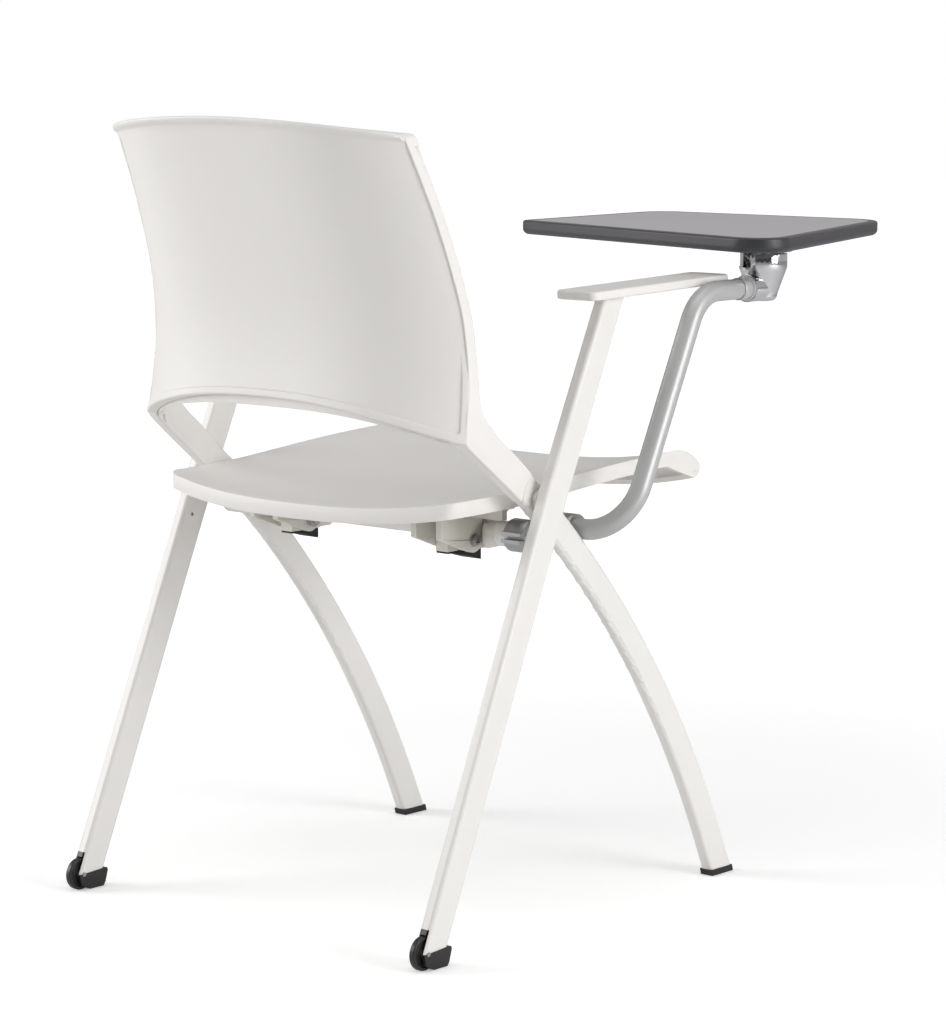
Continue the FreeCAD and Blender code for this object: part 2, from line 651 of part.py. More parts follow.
def seat_bracket():
    """Left fixed casting: knuckle round the pivot, neck in front of it and a flare to the side tube."""
    neck = slab(
        KNUCKLE_IN, NECK_END - KNUCKLE_IN, (NECK_FRONT, NECK_BOTTOM), (NECK_REAR, NECK_BOTTOM),
        (NECK_REAR, NECK_TOP), (NECK_FRONT, NECK_TOP),
    )
    neck = neck.makeFillet(6.0, [e for e in neck.Edges if abs(e.Vertexes[0].X - e.Vertexes[1].X) > 1])
    r = KNUCKLE_RADIUS
    knuckle = slab(
        KNUCKLE_IN, KNUCKLE_WIDTH,
        (NECK_FRONT + 6, NECK_TOP - 1), (NECK_REAR - 3, NECK_TOP - 1), (PIVOT_Y - 4, PIVOT_Z + r - 0.7),
        ((PIVOT_Y + r, PIVOT_Z), (PIVOT_Y + 3, PIVOT_Z - r)), (NECK_REAR, NECK_BOTTOM - 1),
        (NECK_FRONT + 6, NECK_BOTTOM + 1),
    )
    tail = slab(
        KNUCKLE_IN, TAIL_WIDTH, (PIVOT_Y, TAIL_TOP), (TAIL_REAR, TAIL_TOP), (TAIL_REAR, PIVOT_Z - r),
        (PIVOT_Y, PIVOT_Z - r),
    )
    knuckle = knuckle.fuse(tail)
    top = round_box_wire(NECK_END, NECK_FRONT, NECK_REAR, NECK_BOTTOM, NECK_TOP, 6.0)
    half = SIDE_TUBE_DIAMETER / 2
    middle = round_box_wire(
        NECK_END + 0.55 * FLARE_LENGTH, NECK_FRONT + 24, NECK_REAR + 24,
        SIDE_TUBE_Z - half - 2.5, NECK_TOP, 11.0,
    )
    end = round_box_wire(
        FLARE_END, SIDE_TUBE_Y - half, SIDE_TUBE_Y + half, SIDE_TUBE_Z - half, SIDE_TUBE_Z + half, half - 0.05,
    )
    flare = Part.makeLoft([top, middle, end], True, False)
    casting = neck.fuse(knuckle).fuse(flare)
    bore = rod(PIVOT_BOLT + 2 * BUSH_WALL, V(KNUCKLE_IN - 5, PIVOT_Y, PIVOT_Z), V(KNUCKLE_OUT + 1, PIVOT_Y, PIVOT_Z))
    socket = rod(CROSS_TUBE_DIAMETER, V(KNUCKLE_IN - 1, CROSS_Y, CROSS_Z), V(KNUCKLE_IN + 14, CROSS_Y, CROSS_Z))
    return casting.cut(bore).cut(socket)


def cheek(x):
    """Side plate of the moving hinge from x: round at the pivot, its lower edge rising to the rear."""
    r = CHEEK_RADIUS
    top = HINGE_PLATE_Z - HINGE_PLATE
    return slab(
        x, CHEEK, (PIVOT_Y - r, top), (PIVOT_Y - r, PIVOT_Z),
        ((PIVOT_Y - 0.71 * r, PIVOT_Z - 0.71 * r), (PIVOT_Y, PIVOT_Z - r)),
        ((PIVOT_Y + 0.21 * r, PIVOT_Z - 0.978 * r), (PIVOT_Y + 0.4 * r, PIVOT_Z - 0.917 * r)),
        (CHEEK_REAR - 0.8, PIVOT_Z + 5.0), (CHEEK_REAR, PIVOT_Z + 6.5), (CHEEK_REAR, top),
    )


def seat_hinge():
    """Left moving hinge: two cheeks under a plate that is screwed to the seat, and a web out to the side."""
    plate = block(CHEEK_IN - CHEEK - PLATE_REACH, CHEEK_OUT + CHEEK + PLATE_REACH, PIVOT_Y - PLATE_FRONT,
                  PIVOT_Y + PLATE_REAR, HINGE_PLATE_Z - HINGE_PLATE, HINGE_PLATE_Z)
    plate = plate.makeFillet(8.0, [e for e in plate.Edges if abs(e.Vertexes[0].Z - e.Vertexes[1].Z) > 1])
    hinge = plate.fuse(cheek(CHEEK_OUT)).fuse(cheek(CHEEK_IN - CHEEK))
    web = block(NECK_END - 1, SEAT_HALF_WIDTH - 20.0, WING_Y - WING_THICKNESS / 2, WING_Y + WING_THICKNESS / 2,
                WING_BOTTOM, SEAT_ABOVE)
    web = web.common(seat_loft(seat_space, SEAT_SKIN + GAP, SEAT_BELOW))
    web = web.cut(hinge_pads(4.0, HINGE_PLATE_Z, SEAT_ABOVE))
    hinge = hinge.fuse(web)
    hinge = hinge.cut(rod(PIVOT_BOLT, V(CHEEK_IN - 30, PIVOT_Y, PIVOT_Z), V(CHEEK_OUT + 30, PIVOT_Y, PIVOT_Z)))
    for x, y in hinge_screw_places():
        hinge = hinge.cut(rod(HINGE_SCREW, V(x, y, HINGE_PLATE_Z - 20), V(x, y, HINGE_PLATE_Z + 20)))
    return hinge


def hinge_screw_places():
    """Four screws at the corners of the left hinge plate."""
    across = (CHEEK_IN - CHEEK - 9, CHEEK_OUT + CHEEK + 9)
    along = (PIVOT_Y - PLATE_FRONT + 12, PIVOT_Y + PLATE_REAR - 12)
    return [(x, y) for x in across for y in along]


def cap_screw(diameter, length, head, head_height, socket):
    """Socket-head screw along +Z, head below z = 0."""
    shank = Part.makeCylinder(diameter / 2, length)
    top = Part.makeCylinder(head / 2, head_height, V(0, 0, -head_height))
    top = top.makeChamfer(0.6, [e for e in top.Edges if abs(e.BoundBox.ZMax + head_height) < 1e-6 and len(e.Vertexes) == 1])
    hexagon = Part.Face(Part.makePolygon([
        V(socket / math.sqrt(3) * math.cos(math.radians(60 * i)), socket / math.sqrt(3) * math.sin(math.radians(60 * i)),
          -head_height) for i in range(7)]))
    return shank.fuse(top).cut(hexagon.extrude(V(0, 0, head_height * 0.6)))


def ring(outer, inner, thickness):
    """Flat ring along +Z from z = 0."""
    return Part.makeCylinder(outer / 2, thickness).cut(Part.makeCylinder(inner / 2, thickness))


def hex_nut(across, bore, height):
    """Hexagon nut along +Z from z = 0."""
    r = across / math.sqrt(3)
    corners = [V(r * math.cos(math.radians(60 * i)), r * math.sin(math.radians(60 * i)), 0) for i in range(7)]
    return Part.Face(Part.makePolygon(corners)).extrude(V(0, 0, height)).cut(Part.makeCylinder(bore / 2, height))


def turned(shape, x, y, z, axis, angle):
    """Copy turned about an axis through the origin, then moved."""
    placed = shape.copy()
    placed.rotate(V(0, 0, 0), axis, angle)
    placed.translate(V(x, y, z))
    return placed


def pivot_hardware():
    """Pivot bolts, washers, nuts and the bushes in the fixed knuckles."""
    outer = CHEEK_OUT + CHEEK
    inner = CHEEK_IN - CHEEK
    washer = ring(WASHER_DIAMETER, PIVOT_BOLT, WASHER_THICKNESS)
    length = outer - inner + 2 * WASHER_THICKNESS + NUT_HEIGHT + 1.5
    bolt = cap_screw(PIVOT_BOLT, length, BOLT_HEAD_DIAMETER, BOLT_HEAD_HEIGHT, HEX_SOCKET)
    nut = hex_nut(NUT_ACROSS, PIVOT_BOLT, NUT_HEIGHT)
    bush = ring(PIVOT_BOLT + 2 * BUSH_WALL, PIVOT_BOLT + 2 * RUNNING, KNUCKLE_WIDTH)
    left = {
        "pivot_bolts": [turned(bolt, outer + WASHER_THICKNESS, PIVOT_Y, PIVOT_Z, V(0, 1, 0), -90)],
        "pivot_washers": [
            turned(washer, outer, PIVOT_Y, PIVOT_Z, V(0, 1, 0), 90),
            turned(washer, inner, PIVOT_Y, PIVOT_Z, V(0, 1, 0), -90),
        ],
        "pivot_nuts": [turned(nut, inner - WASHER_THICKNESS, PIVOT_Y, PIVOT_Z, V(0, 1, 0), -90)],
        "pivot_bushes": [turned(bush, KNUCKLE_IN, PIVOT_Y, PIVOT_Z, V(0, 1, 0), 90)],
    }
    for name, solids in left.items():
        save(name, Part.makeCompound(solids + [mirrored(s) for s in solids]))


def rest_pad():
    """Rubber pad on the neck's top, under the front of the hinge plate."""
    return block(KNUCKLE_IN + 1, KNUCKLE_OUT - 1, NECK_FRONT + 7, NECK_REAR - 5, NECK_TOP - 1,
                 HINGE_PLATE_Z - HINGE_PLATE - PAD_GAP).cut(seat_bracket())


def tip_stop():
    """Rubber block under the knuckle with a thin strip back under its tail."""
    low = PIVOT_Z - KNUCKLE_RADIUS
    stop = slab(
        KNUCKLE_IN, KNUCKLE_WIDTH, (NECK_REAR - 2.5, NECK_BOTTOM), (NECK_REAR - 2.5, low - 11.0),
        (PIVOT_Y + 5, low - 4.0), (PIVOT_Y + 5, low + 1),
    )
    strip = block(KNUCKLE_IN, KNUCKLE_IN + TAIL_WIDTH, PIVOT_Y + 3, TAIL_REAR - 1, low - 2.2, low)
    return stop.fuse(strip).cut(seat_bracket())


def under_seat():
    """Cross tube, side tubes, castings, hinges and their hardware."""
    reach = KNUCKLE_IN + 14
    save("cross_tube", tube_x(CROSS_TUBE_DIAMETER, CROSS_TUBE_WALL, -reach, reach, CROSS_Y, CROSS_Z))
    side = tube_x(SIDE_TUBE_DIAMETER, SIDE_TUBE_WALL, FLARE_END, INNER_FACE, SIDE_TUBE_Y, SIDE_TUBE_Z)
    save("side_tube_left", side)
    save("side_tube_right", mirrored(side))
    casting = seat_bracket()
    save("seat_bracket_left", casting)
    save("seat_bracket_right", mirrored(casting))
    hinge = seat_hinge()
    save("seat_hinge_left", hinge)
    save("seat_hinge_right", mirrored(hinge))
    pivot_hardware()
    for name, piece in (("rest_pads", rest_pad()), ("tip_stops", tip_stop())):
        save(name, Part.makeCompound([piece, mirrored(piece)]))


under_seat()


# Seat shell
def lip_end(side):
    """Wall that closes the curled lip at one side of the seat (+1 left, -1 right)."""
    walls = []
    for x in (side * (SEAT_HALF_WIDTH - SEAT_RIM_WALL), side * SEAT_HALF_WIDTH * 1.03):
        fall = seat_drop(x, SEAT_SIDE_LINE[-1][0])
        under = seat_line(x, SEAT_RIM)[-2]
        end = (SEAT_LIP_END[0] + 0.5, SEAT_LIP_END[1] - fall)
        inside = [(y, z - fall) for y, z in SEAT_LIP_INSIDE]
        grown = [(y - 1.0, z + 0.6) for y, z in inside]
        walls.append(Part.makePolygon([V(x, *p) for p in [end] + grown + [under, end]]))
    return Part.makeLoft(walls, True, True)


def seat_shell():
    """Dished shell with a deep rim and a curled front lip, ribbed and bossed underneath."""
    hollow = seat_loft(seat_space, SEAT_SKIN, 400.0).common(seat_plan(SEAT_RIM_WALL))
    side_rib = SEAT_HALF_WIDTH - 16.0
    for x in (-side_rib, -60.0, 60.0, side_rib):
        hollow = hollow.cut(block(x - RIB / 2, x + RIB / 2, -200, SEAT_REAR_Y + 40, SEAT_BELOW, SEAT_ABOVE))
    for y in (-130.0, -60.0, 130.0):
        hollow = hollow.cut(block(-INNER_FACE, INNER_FACE, y - RIB / 2, y + RIB / 2, SEAT_BELOW, SEAT_ABOVE))
    hollow = hollow.cut(hinge_pads(3.0, SEAT_BELOW, SEAT_ABOVE))
    shell = seat_loft(seat_section).common(seat_plan(0.0)).cut(hollow)
    bosses = hinge_pads(3.0, HINGE_PLATE_Z, SEAT_ABOVE).cut(seat_loft(seat_space, SEAT_SKIN / 2, SEAT_ABOVE))
    shell = shell.fuse(bosses).cut(hinge_pads(3.5, SEAT_BELOW, HINGE_PLATE_Z))
    for side in (1, -1):
        shell = shell.fuse(lip_end(side).common(seat_plan(0.0)))
    for x, y in hinge_screw_places():
        for side in (x, -x):
            shell = shell.cut(rod(HINGE_SCREW, V(side, y, HINGE_PLATE_Z - 1),
                                  V(side, y, HINGE_PLATE_Z + HINGE_SCREW_DEPTH + 0.5)))
    return shell


save("seat_shell", seat_shell())


def hinge_screws():
    """Eight pan-head screws that hold the hinge plates under the seat."""
    screw = cap_screw(HINGE_SCREW, HINGE_PLATE + HINGE_SCREW_DEPTH, 9.0, 2.4, 3.0)
    solids = []
    for x, y in hinge_screw_places():
        for side in (x, -x):
            solids.append(turned(screw, side, y, HINGE_PLATE_Z - HINGE_PLATE, V(0, 0, 1), 0))
    save("seat_hinge_screws", Part.makeCompound(solids))


hinge_screws()


# Back shells
def back_wire(z, half, edge_y, rear, front):
    """Level section of the back between two offsets in front of its rear face."""
    at = floor_plane(z)
    bulge = BACK_BULGE
    return outline(
        at, (-half, edge_y - rear), ((0.0, edge_y + bulge - rear), (half, edge_y - rear)),
        (half, edge_y - front), ((0.0, edge_y + bulge - front), (-half, edge_y - front)),
    )


def back_layer(rear, front, inset=0.0):
    """Loft of the back's curved form between two depths behind its rear face."""
    return Part.makeLoft(
        [back_wire(z, INNER_OUT - drawn - inset, y - (0.3 * inset), rear, front) for z, drawn, y in BACK_LINE],
        True, False)


def back_prism(top_side, top_centre, low_side, low_centre, half_top, half_low, corner):
    """Rear view outline of the back as a prism through its depth."""
    at = lambda x, z: V(x, 60.0, z)
    wire = outline(
        at,
        (-half_low, low_side), ((0.0, low_centre), (half_low, low_side)),
        (half_top, top_side - corner), ((half_top - 0.29 * corner, top_side - 0.29 * corner),
                                        (half_top - corner, top_side)),
        ((0.0, top_centre), (-half_top + corner, top_side)),
        ((-half_top + 0.29 * corner, top_side - 0.29 * corner), (-half_top, top_side - corner)),
    )
    return Part.Face(wire).extrude(V(0, 260.0, 0))


def side_arm():
    """Left arm of the back: it sweeps down and forward to the seam with the front leg's tube."""
    x = INNER_OUT - ARM_THICKNESS
    arm = slab(
        x, ARM_THICKNESS,
        (172.0, 516.5), (150.0, 500.0), SEAM_BOTTOM,
        (bowed(SEAM_BOTTOM, SEAM_TOP, -SEAM_BOW), SEAM_TOP), (103.7, 506.0), ((128.0, 527.5), (146.0, 556.0)),
        (150.5, 572.0), (160.0, 572.0), (164.0, 540.0),
    )
    return arm.cut(arm_spigot(0.0))


def back_shells():
    """Rear shell with its recessed panel, side walls and arms; thinner front shell inside it."""
    wide = INNER_OUT + 4.0
    body = back_prism(BACK_TOP_SIDE, BACK_TOP_CENTRE, BACK_ARCH_SIDE, BACK_ARCH_CENTRE, wide, wide, 12.0)
    outer = back_layer(0.0, BACK_DEPTH).common(body)
    inner_body = back_prism(BACK_TOP_SIDE - 6, BACK_TOP_CENTRE - 6, BACK_ARCH_SIDE + 8, BACK_ARCH_CENTRE + 8,
                            wide - 6.0, wide - 6.0, 10.0)
    pocket = back_layer(BACK_SKIN, BACK_DEPTH + 30, BACK_SKIN + 1.0).common(inner_body)
    rear = outer.cut(pocket)
    panel = back_prism(BACK_TOP_SIDE - PANEL_TOP_INSET, BACK_TOP_CENTRE - PANEL_TOP_INSET, PANEL_ARCH_SIDE,
                       PANEL_ARCH_CENTRE, wide, wide, 12.0)
    recess = back_layer(-20.0, PANEL_RECESS).common(panel)
    side_keep = back_layer(-40.0, 40.0, PANEL_INSET_SIDE)
    rear = rear.cut(recess.common(side_keep))
    arm = side_arm()
    rear = rear.fuse(arm).fuse(mirrored(arm)).removeSplitter()
    front = back_layer(BACK_DEPTH - 3.2, BACK_DEPTH - 0.2, BACK_SKIN + 1.3).common(
        back_prism(BACK_TOP_SIDE - 6.3, BACK_TOP_CENTRE - 6.3, BACK_ARCH_SIDE + 8.3, BACK_ARCH_CENTRE + 8.3,
                   wide - 7.0, wide - 7.0, 10.0))
    front = front.cut(arm).cut(mirrored(arm))
    save("back_rear_shell", rear)
    save("back_front_shell", front)


back_shells()


# Tablet support
def fillet_path(points, radii):
    """Path of straight runs joined by tangent arcs, as a wire."""
    edges = []
    here = points[0]
    for before, corner, after, radius in zip(points, points[1:], points[2:], radii):
        u = (before - corner).normalize()
        w = (after - corner).normalize()
        half = u.getAngle(w) / 2
        reach = radius / math.tan(half)
        start, end = corner + u * reach, corner + w * reach
        bisector = (u + w).normalize()
        middle = corner + bisector * (radius / math.sin(half) - radius)
        edges.append(Part.LineSegment(here, start).toShape())
        edges.append(Part.Arc(start, middle, end).toShape())
        here = end
    edges.append(Part.LineSegment(here, points[-1]).toShape())
    return Part.Wire(edges)


def tablet_route():
    """Corner points of the tablet tube's centre line."""
    return [
        V(TABLET_RUN_START, TABLET_RUN_Y, TABLET_RUN_Z),
        V(TABLET_TUBE_X, TABLET_RUN_Y, TABLET_RUN_Z),
        V(TABLET_TUBE_X, TABLET_TOP_KNEE_Y, TABLET_TOP_Z),
        V(TABLET_TUBE_X, TABLET_TUBE_END, TABLET_TOP_Z),
    ]


def swept(path, diameter, start, way):
    """Round bar along a path."""
    profile = Part.Wire(Part.makeCircle(diameter / 2, start, way))
    return path.makePipeShell([profile], True, True)


def tablet_tube():
    """Bent tube that carries the tablet."""
    points = tablet_route()
    path = fillet_path(points, (LOWER_BEND, UPPER_BEND))
    outer = swept(path, TABLET_TUBE, points[0], V(-1, 0, 0))
    inner = swept(path, TABLET_TUBE - 2 * TABLET_TUBE_WALL, points[0], V(-1, 0, 0))
    return outer.cut(inner)


def clamp_plate(sign):
    """Saddle plate over (+1) or under (-1) the side tube and the tablet tube."""
    x0 = CLAMP_X - CLAMP_WIDTH / 2
    r_side, r_tab = SIDE_TUBE_DIAMETER / 2, TABLET_TUBE / 2
    p = CLAMP_PLATE
    z = lambda base, up: base + sign * up
    wire = outline(
        side_plane(x0),
        (SIDE_TUBE_Y + r_side + 9, z(SIDE_TUBE_Z, 2.0)), (SIDE_TUBE_Y + r_side, z(SIDE_TUBE_Z, 2.0)),
        ((SIDE_TUBE_Y, z(SIDE_TUBE_Z, r_side)), (SIDE_TUBE_Y - r_side, z(SIDE_TUBE_Z, 2.0))),
        (TABLET_RUN_Y + r_tab, z(TABLET_RUN_Z, 2.0)),
        ((TABLET_RUN_Y, z(TABLET_RUN_Z, r_tab)), (TABLET_RUN_Y - r_tab, z(TABLET_RUN_Z, 2.0))),
        (TABLET_RUN_Y - r_tab - 4, z(TABLET_RUN_Z, 2.0)), (TABLET_RUN_Y - r_tab - 4, z(TABLET_RUN_Z, 2.0 + p)),
        ((TABLET_RUN_Y, z(TABLET_RUN_Z, r_tab + p)), (TABLET_RUN_Y + r_tab + 3, z(TABLET_RUN_Z, 2.0 + p))),
        (SIDE_TUBE_Y - r_side - 3, z(SIDE_TUBE_Z, 2.0 + p)),
        ((SIDE_TUBE_Y, z(SIDE_TUBE_Z, r_side + p)), (SIDE_TUBE_Y + r_side + 5, z(SIDE_TUBE_Z, 2.0 + p))),
        (SIDE_TUBE_Y + r_side + 9, z(SIDE_TUBE_Z, 2.0 + p)),
    )
    plate = Part.Face(wire).extrude(V(CLAMP_WIDTH, 0, 0))
    tubes = rod(SIDE_TUBE_DIAMETER, V(x0 - 1, SIDE_TUBE_Y, SIDE_TUBE_Z), V(x0 + CLAMP_WIDTH + 1, SIDE_TUBE_Y, SIDE_TUBE_Z))
    tubes = tubes.fuse(rod(TABLET_TUBE, V(x0 - 1, TABLET_RUN_Y, TABLET_RUN_Z),
                           V(x0 + CLAMP_WIDTH + 1, TABLET_RUN_Y, TABLET_RUN_Z)))
    plate = plate.cut(tubes)
    for x, y in clamp_bolt_places():
        plate = plate.cut(rod(CLAMP_BOLT, V(x, y, SIDE_TUBE_Z - 40), V(x, y, SIDE_TUBE_Z + 40)))
    return plate


def clamp_bolt_places():
    """Two bolts between the two tubes."""
    y = (TABLET_RUN_Y + TABLET_TUBE / 2 + SIDE_TUBE_Y - SIDE_TUBE_DIAMETER / 2) / 2
    return [(CLAMP_X - CLAMP_WIDTH / 4, y), (CLAMP_X + CLAMP_WIDTH / 4, y)]


def elbow():
    """Polished casting: a socket on the tube's end that turns up into an open-sided cup."""
    tube_r = ELBOW_SOCKET_DIAMETER / 2
    end = TABLET_TUBE_END
    centre = V(TABLET_TUBE_X, SWIVEL_Y, 0)
    cup_r = CUP_DIAMETER / 2
    socket = rod(ELBOW_SOCKET_DIAMETER, V(TABLET_TUBE_X, end + 6, TABLET_TOP_Z), V(TABLET_TUBE_X, SWIVEL_Y, TABLET_TOP_Z))
    low = TABLET_TOP_Z - tube_r
    profile = outline(
        lambda r, z: V(r, 0, z),
        (0.0, low), (tube_r - 6.5, low), ((tube_r - 1.5, low + 2.0), (tube_r + 0.5, low + 7.0)),
        (cup_r, CUP_FLOOR + 3.0), (cup_r, CUP_TOP), (0.0, CUP_TOP),
    )
    cup = Part.Face(profile).revolve(V(0, 0, 0), V(0, 0, 1), 360)
    cup.translate(centre)
    casting = socket.fuse(cup)
    inner_r = cup_r - CUP_WALL
    casting = casting.cut(Part.makeCylinder(inner_r, 40, centre + V(0, 0, CUP_FLOOR)))
    window = block(TABLET_TUBE_X - cup_r * 0.1, TABLET_TUBE_X + cup_r + 4, SWIVEL_Y + 8, SWIVEL_Y + cup_r + 4,
                   CUP_FLOOR + 3, CUP_TOP + 5)
    casting = casting.cut(window)
    bore = rod(TABLET_TUBE + 2 * RUNNING, V(TABLET_TUBE_X, end - 0.3, TABLET_TOP_Z),
               V(TABLET_TUBE_X, end + 20, TABLET_TOP_Z))
    casting = casting.cut(bore)
    post_bore = Part.makeCylinder(POST_DIAMETER / 2 + RUNNING, 60, centre + V(0, 0, CUP_FLOOR - 10))
    return casting.cut(post_bore)


def swivel_post():
    """Post under the tablet that turns in the elbow, with a screwed head plate."""
    centre = V(TABLET_TUBE_X, SWIVEL_Y, 0)
    post = Part.makeCylinder(POST_DIAMETER / 2, TABLET_UNDERSIDE - SWIVEL_PLATE - CUP_FLOOR + 9.7,
                             centre + V(0, 0, CUP_FLOOR - 9.7))
    return post


def rounded_quad(corners, rounds, z, thickness):
    """Prism of a four-sided plate with its own radius at each corner."""
    pts = [V(x, y, z) for x, y in corners]
    n = len(pts)
    arcs = []
    for i in range(n):
        before, corner, after = pts[i - 1], pts[i], pts[(i + 1) % n]
        u = (before - corner).normalize()
        w = (after - corner).normalize()
        half = u.getAngle(w) / 2
        reach = rounds[i] / math.tan(half)
        middle = corner + (u + w).normalize() * (rounds[i] / math.sin(half) - rounds[i])
        arcs.append((corner + u * reach, middle, corner + w * reach))
    edges = []
    for i in range(n):
        edges.append(Part.Arc(*arcs[i]).toShape())
        edges.append(Part.LineSegment(arcs[i][2], arcs[(i + 1) % n][0]).toShape())
    return Part.Face(Part.Wire(edges)).extrude(V(0, 0, thickness))


def drawn_in(corners, inset):
    """Corners of the same plate drawn in evenly from its edges."""
    n = len(corners)
    moved = []
    for i in range(n):
        p = V(*corners[i], 0)
        u = (V(*corners[i - 1], 0) - p).normalize()
        w = (V(*corners[(i + 1) % n], 0) - p).normalize()
        half = u.getAngle(w) / 2
        q = p + (u + w).normalize() * (inset / math.sin(half))
        moved.append((q.x, q.y))
    return moved


def tablet():
    """Moulded edge frame with a laminate top let into it."""
    corners = [(TABLET_TUBE_X + x, SWIVEL_Y + y) for x, y in TABLET_CORNERS_FROM_SWIVEL]
    board = rounded_quad(corners, TABLET_ROUNDS, TABLET_UNDERSIDE, TABLET_THICKNESS)
    low = [e for e in board.Edges if e.BoundBox.ZMax < TABLET_UNDERSIDE + 1e-3]
    board = board.makeFillet(TABLET_EDGE_ROUND, low)
    high = [e for e in board.Edges if e.BoundBox.ZMin > TABLET_UNDERSIDE + TABLET_THICKNESS - 1e-3]
    board = board.makeFillet(2.5, high)
    inner = drawn_in(corners, TABLET_EDGE_BAND)
    rounds = [max(r - TABLET_EDGE_BAND, 5.0) for r in TABLET_ROUNDS]
    top = rounded_quad(inner, rounds, TABLET_UNDERSIDE + TABLET_THICKNESS - LAMINATE, LAMINATE)
    board = board.cut(top)
    return board, top


def tablet_support():
    """Tube, clamp, collar, elbow, post and plate, and the tablet on top."""
    tube = tablet_tube()
    save("tablet_tube", tube)
    save("tube_clamp_upper", clamp_plate(1))
    save("tube_clamp_lower", clamp_plate(-1))
    bolts = []
    for x, y in clamp_bolt_places():
        top = (TABLET_RUN_Z + SIDE_TUBE_Z) / 2 + 2.0 + CLAMP_PLATE
        bolt = cap_screw(CLAMP_BOLT, 2 * (top - (TABLET_RUN_Z + SIDE_TUBE_Z) / 2) + 4, 10.0, 4.0, 5.0)
        bolts.append(turned(bolt, x, y, top + 1.2, V(1, 0, 0), 180))
    save("clamp_bolts", Part.makeCompound(bolts))
    end = V(TABLET_TUBE_X, TABLET_TUBE_END, TABLET_TOP_Z)
    collar = ring(TABLET_TUBE + 2 * COLLAR_WALL, TABLET_TUBE, COLLAR_LENGTH)
    save("tube_collar", turned(collar, end.x, end.y + 8.0 + COLLAR_LENGTH, end.z, V(1, 0, 0), 90))
    gasket = ring(ELBOW_SOCKET_DIAMETER - 3.5, TABLET_TUBE, 1.6)
    save("elbow_gasket", turned(gasket, end.x, end.y + 7.9, end.z, V(1, 0, 0), 90))
    save("tablet_elbow", elbow())
    save("swivel_post", swivel_post())
    plate = Part.makeCylinder(SWIVEL_PLATE_DIAMETER / 2, SWIVEL_PLATE,
                              V(TABLET_TUBE_X, SWIVEL_Y, TABLET_UNDERSIDE - SWIVEL_PLATE))
    board, top = tablet()
    screw = cap_screw(PLATE_SCREW, SWIVEL_PLATE + 9.0, 7.0, 1.4, 2.5)
    screws = []
    for turn in (40, 140, 220, 320):
        x = TABLET_TUBE_X + PLATE_SCREW_RING * math.cos(math.radians(turn))
        y = SWIVEL_Y + PLATE_SCREW_RING * math.sin(math.radians(turn))
        hole = rod(PLATE_SCREW, V(x, y, TABLET_UNDERSIDE - 5), V(x, y, TABLET_UNDERSIDE + 9.0))
        plate, board = plate.cut(hole), board.cut(hole)
        screws.append(turned(screw, x, y, TABLET_UNDERSIDE - SWIVEL_PLATE, V(0, 0, 1), 0))
    save("swivel_plate", plate)
    save("swivel_screws", Part.makeCompound(screws))
    save("tablet_board", board)
    save("tablet_top", top)


tablet_support()
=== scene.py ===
"""Flip-seat chair with a writing tablet: moulded back, finishes, studio and camera on the fixed frame."""
import json
import logging
import math
from dataclasses import dataclass
from enum import Enum
from typing import Sequence

import bmesh
import bpy
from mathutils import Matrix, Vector


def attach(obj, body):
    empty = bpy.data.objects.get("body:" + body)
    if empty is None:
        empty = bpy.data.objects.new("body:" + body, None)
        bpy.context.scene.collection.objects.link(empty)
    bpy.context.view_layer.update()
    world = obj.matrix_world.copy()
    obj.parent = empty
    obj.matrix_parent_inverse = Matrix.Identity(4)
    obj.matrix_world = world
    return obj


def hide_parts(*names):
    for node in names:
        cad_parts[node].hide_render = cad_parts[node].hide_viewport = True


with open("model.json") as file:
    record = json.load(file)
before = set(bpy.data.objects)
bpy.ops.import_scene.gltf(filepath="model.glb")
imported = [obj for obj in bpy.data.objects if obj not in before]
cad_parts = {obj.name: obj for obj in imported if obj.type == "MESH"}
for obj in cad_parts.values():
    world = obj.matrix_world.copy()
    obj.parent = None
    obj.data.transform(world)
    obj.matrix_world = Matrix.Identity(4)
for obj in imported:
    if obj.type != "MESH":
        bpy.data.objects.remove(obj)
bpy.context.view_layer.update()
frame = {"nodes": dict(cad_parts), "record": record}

logging.basicConfig(level=logging.INFO, format="%(message)s")
log = logging.getLogger("chair")

MM = 0.001
WELD_GAP = 0.00001
WHITE = (1.0, 1.0, 1.0, 1.0)
Point = tuple[float, float, float]
Stations = tuple[tuple[float, float], ...]


# Small mathematics
def smoothstep(value: float) -> float:
    """Ease from 0 to 1 as the value goes from 0 to 1."""
    value = min(max(value, 0.0), 1.0)
    return value * value * (3.0 - 2.0 * value)


def mix(a: float, b: float, share: float) -> float:
    """Value between a and b."""
    return a + (b - a) * share


@dataclass(frozen=True)
class Ramp:
    """A level that eases into another one below a height."""

    level: float
    foot_level: float
    start: float
    span: float

    def at(self, z: float) -> float:
        """Level at height z."""
        return mix(self.level, self.foot_level, smoothstep((self.start - z) / self.span))


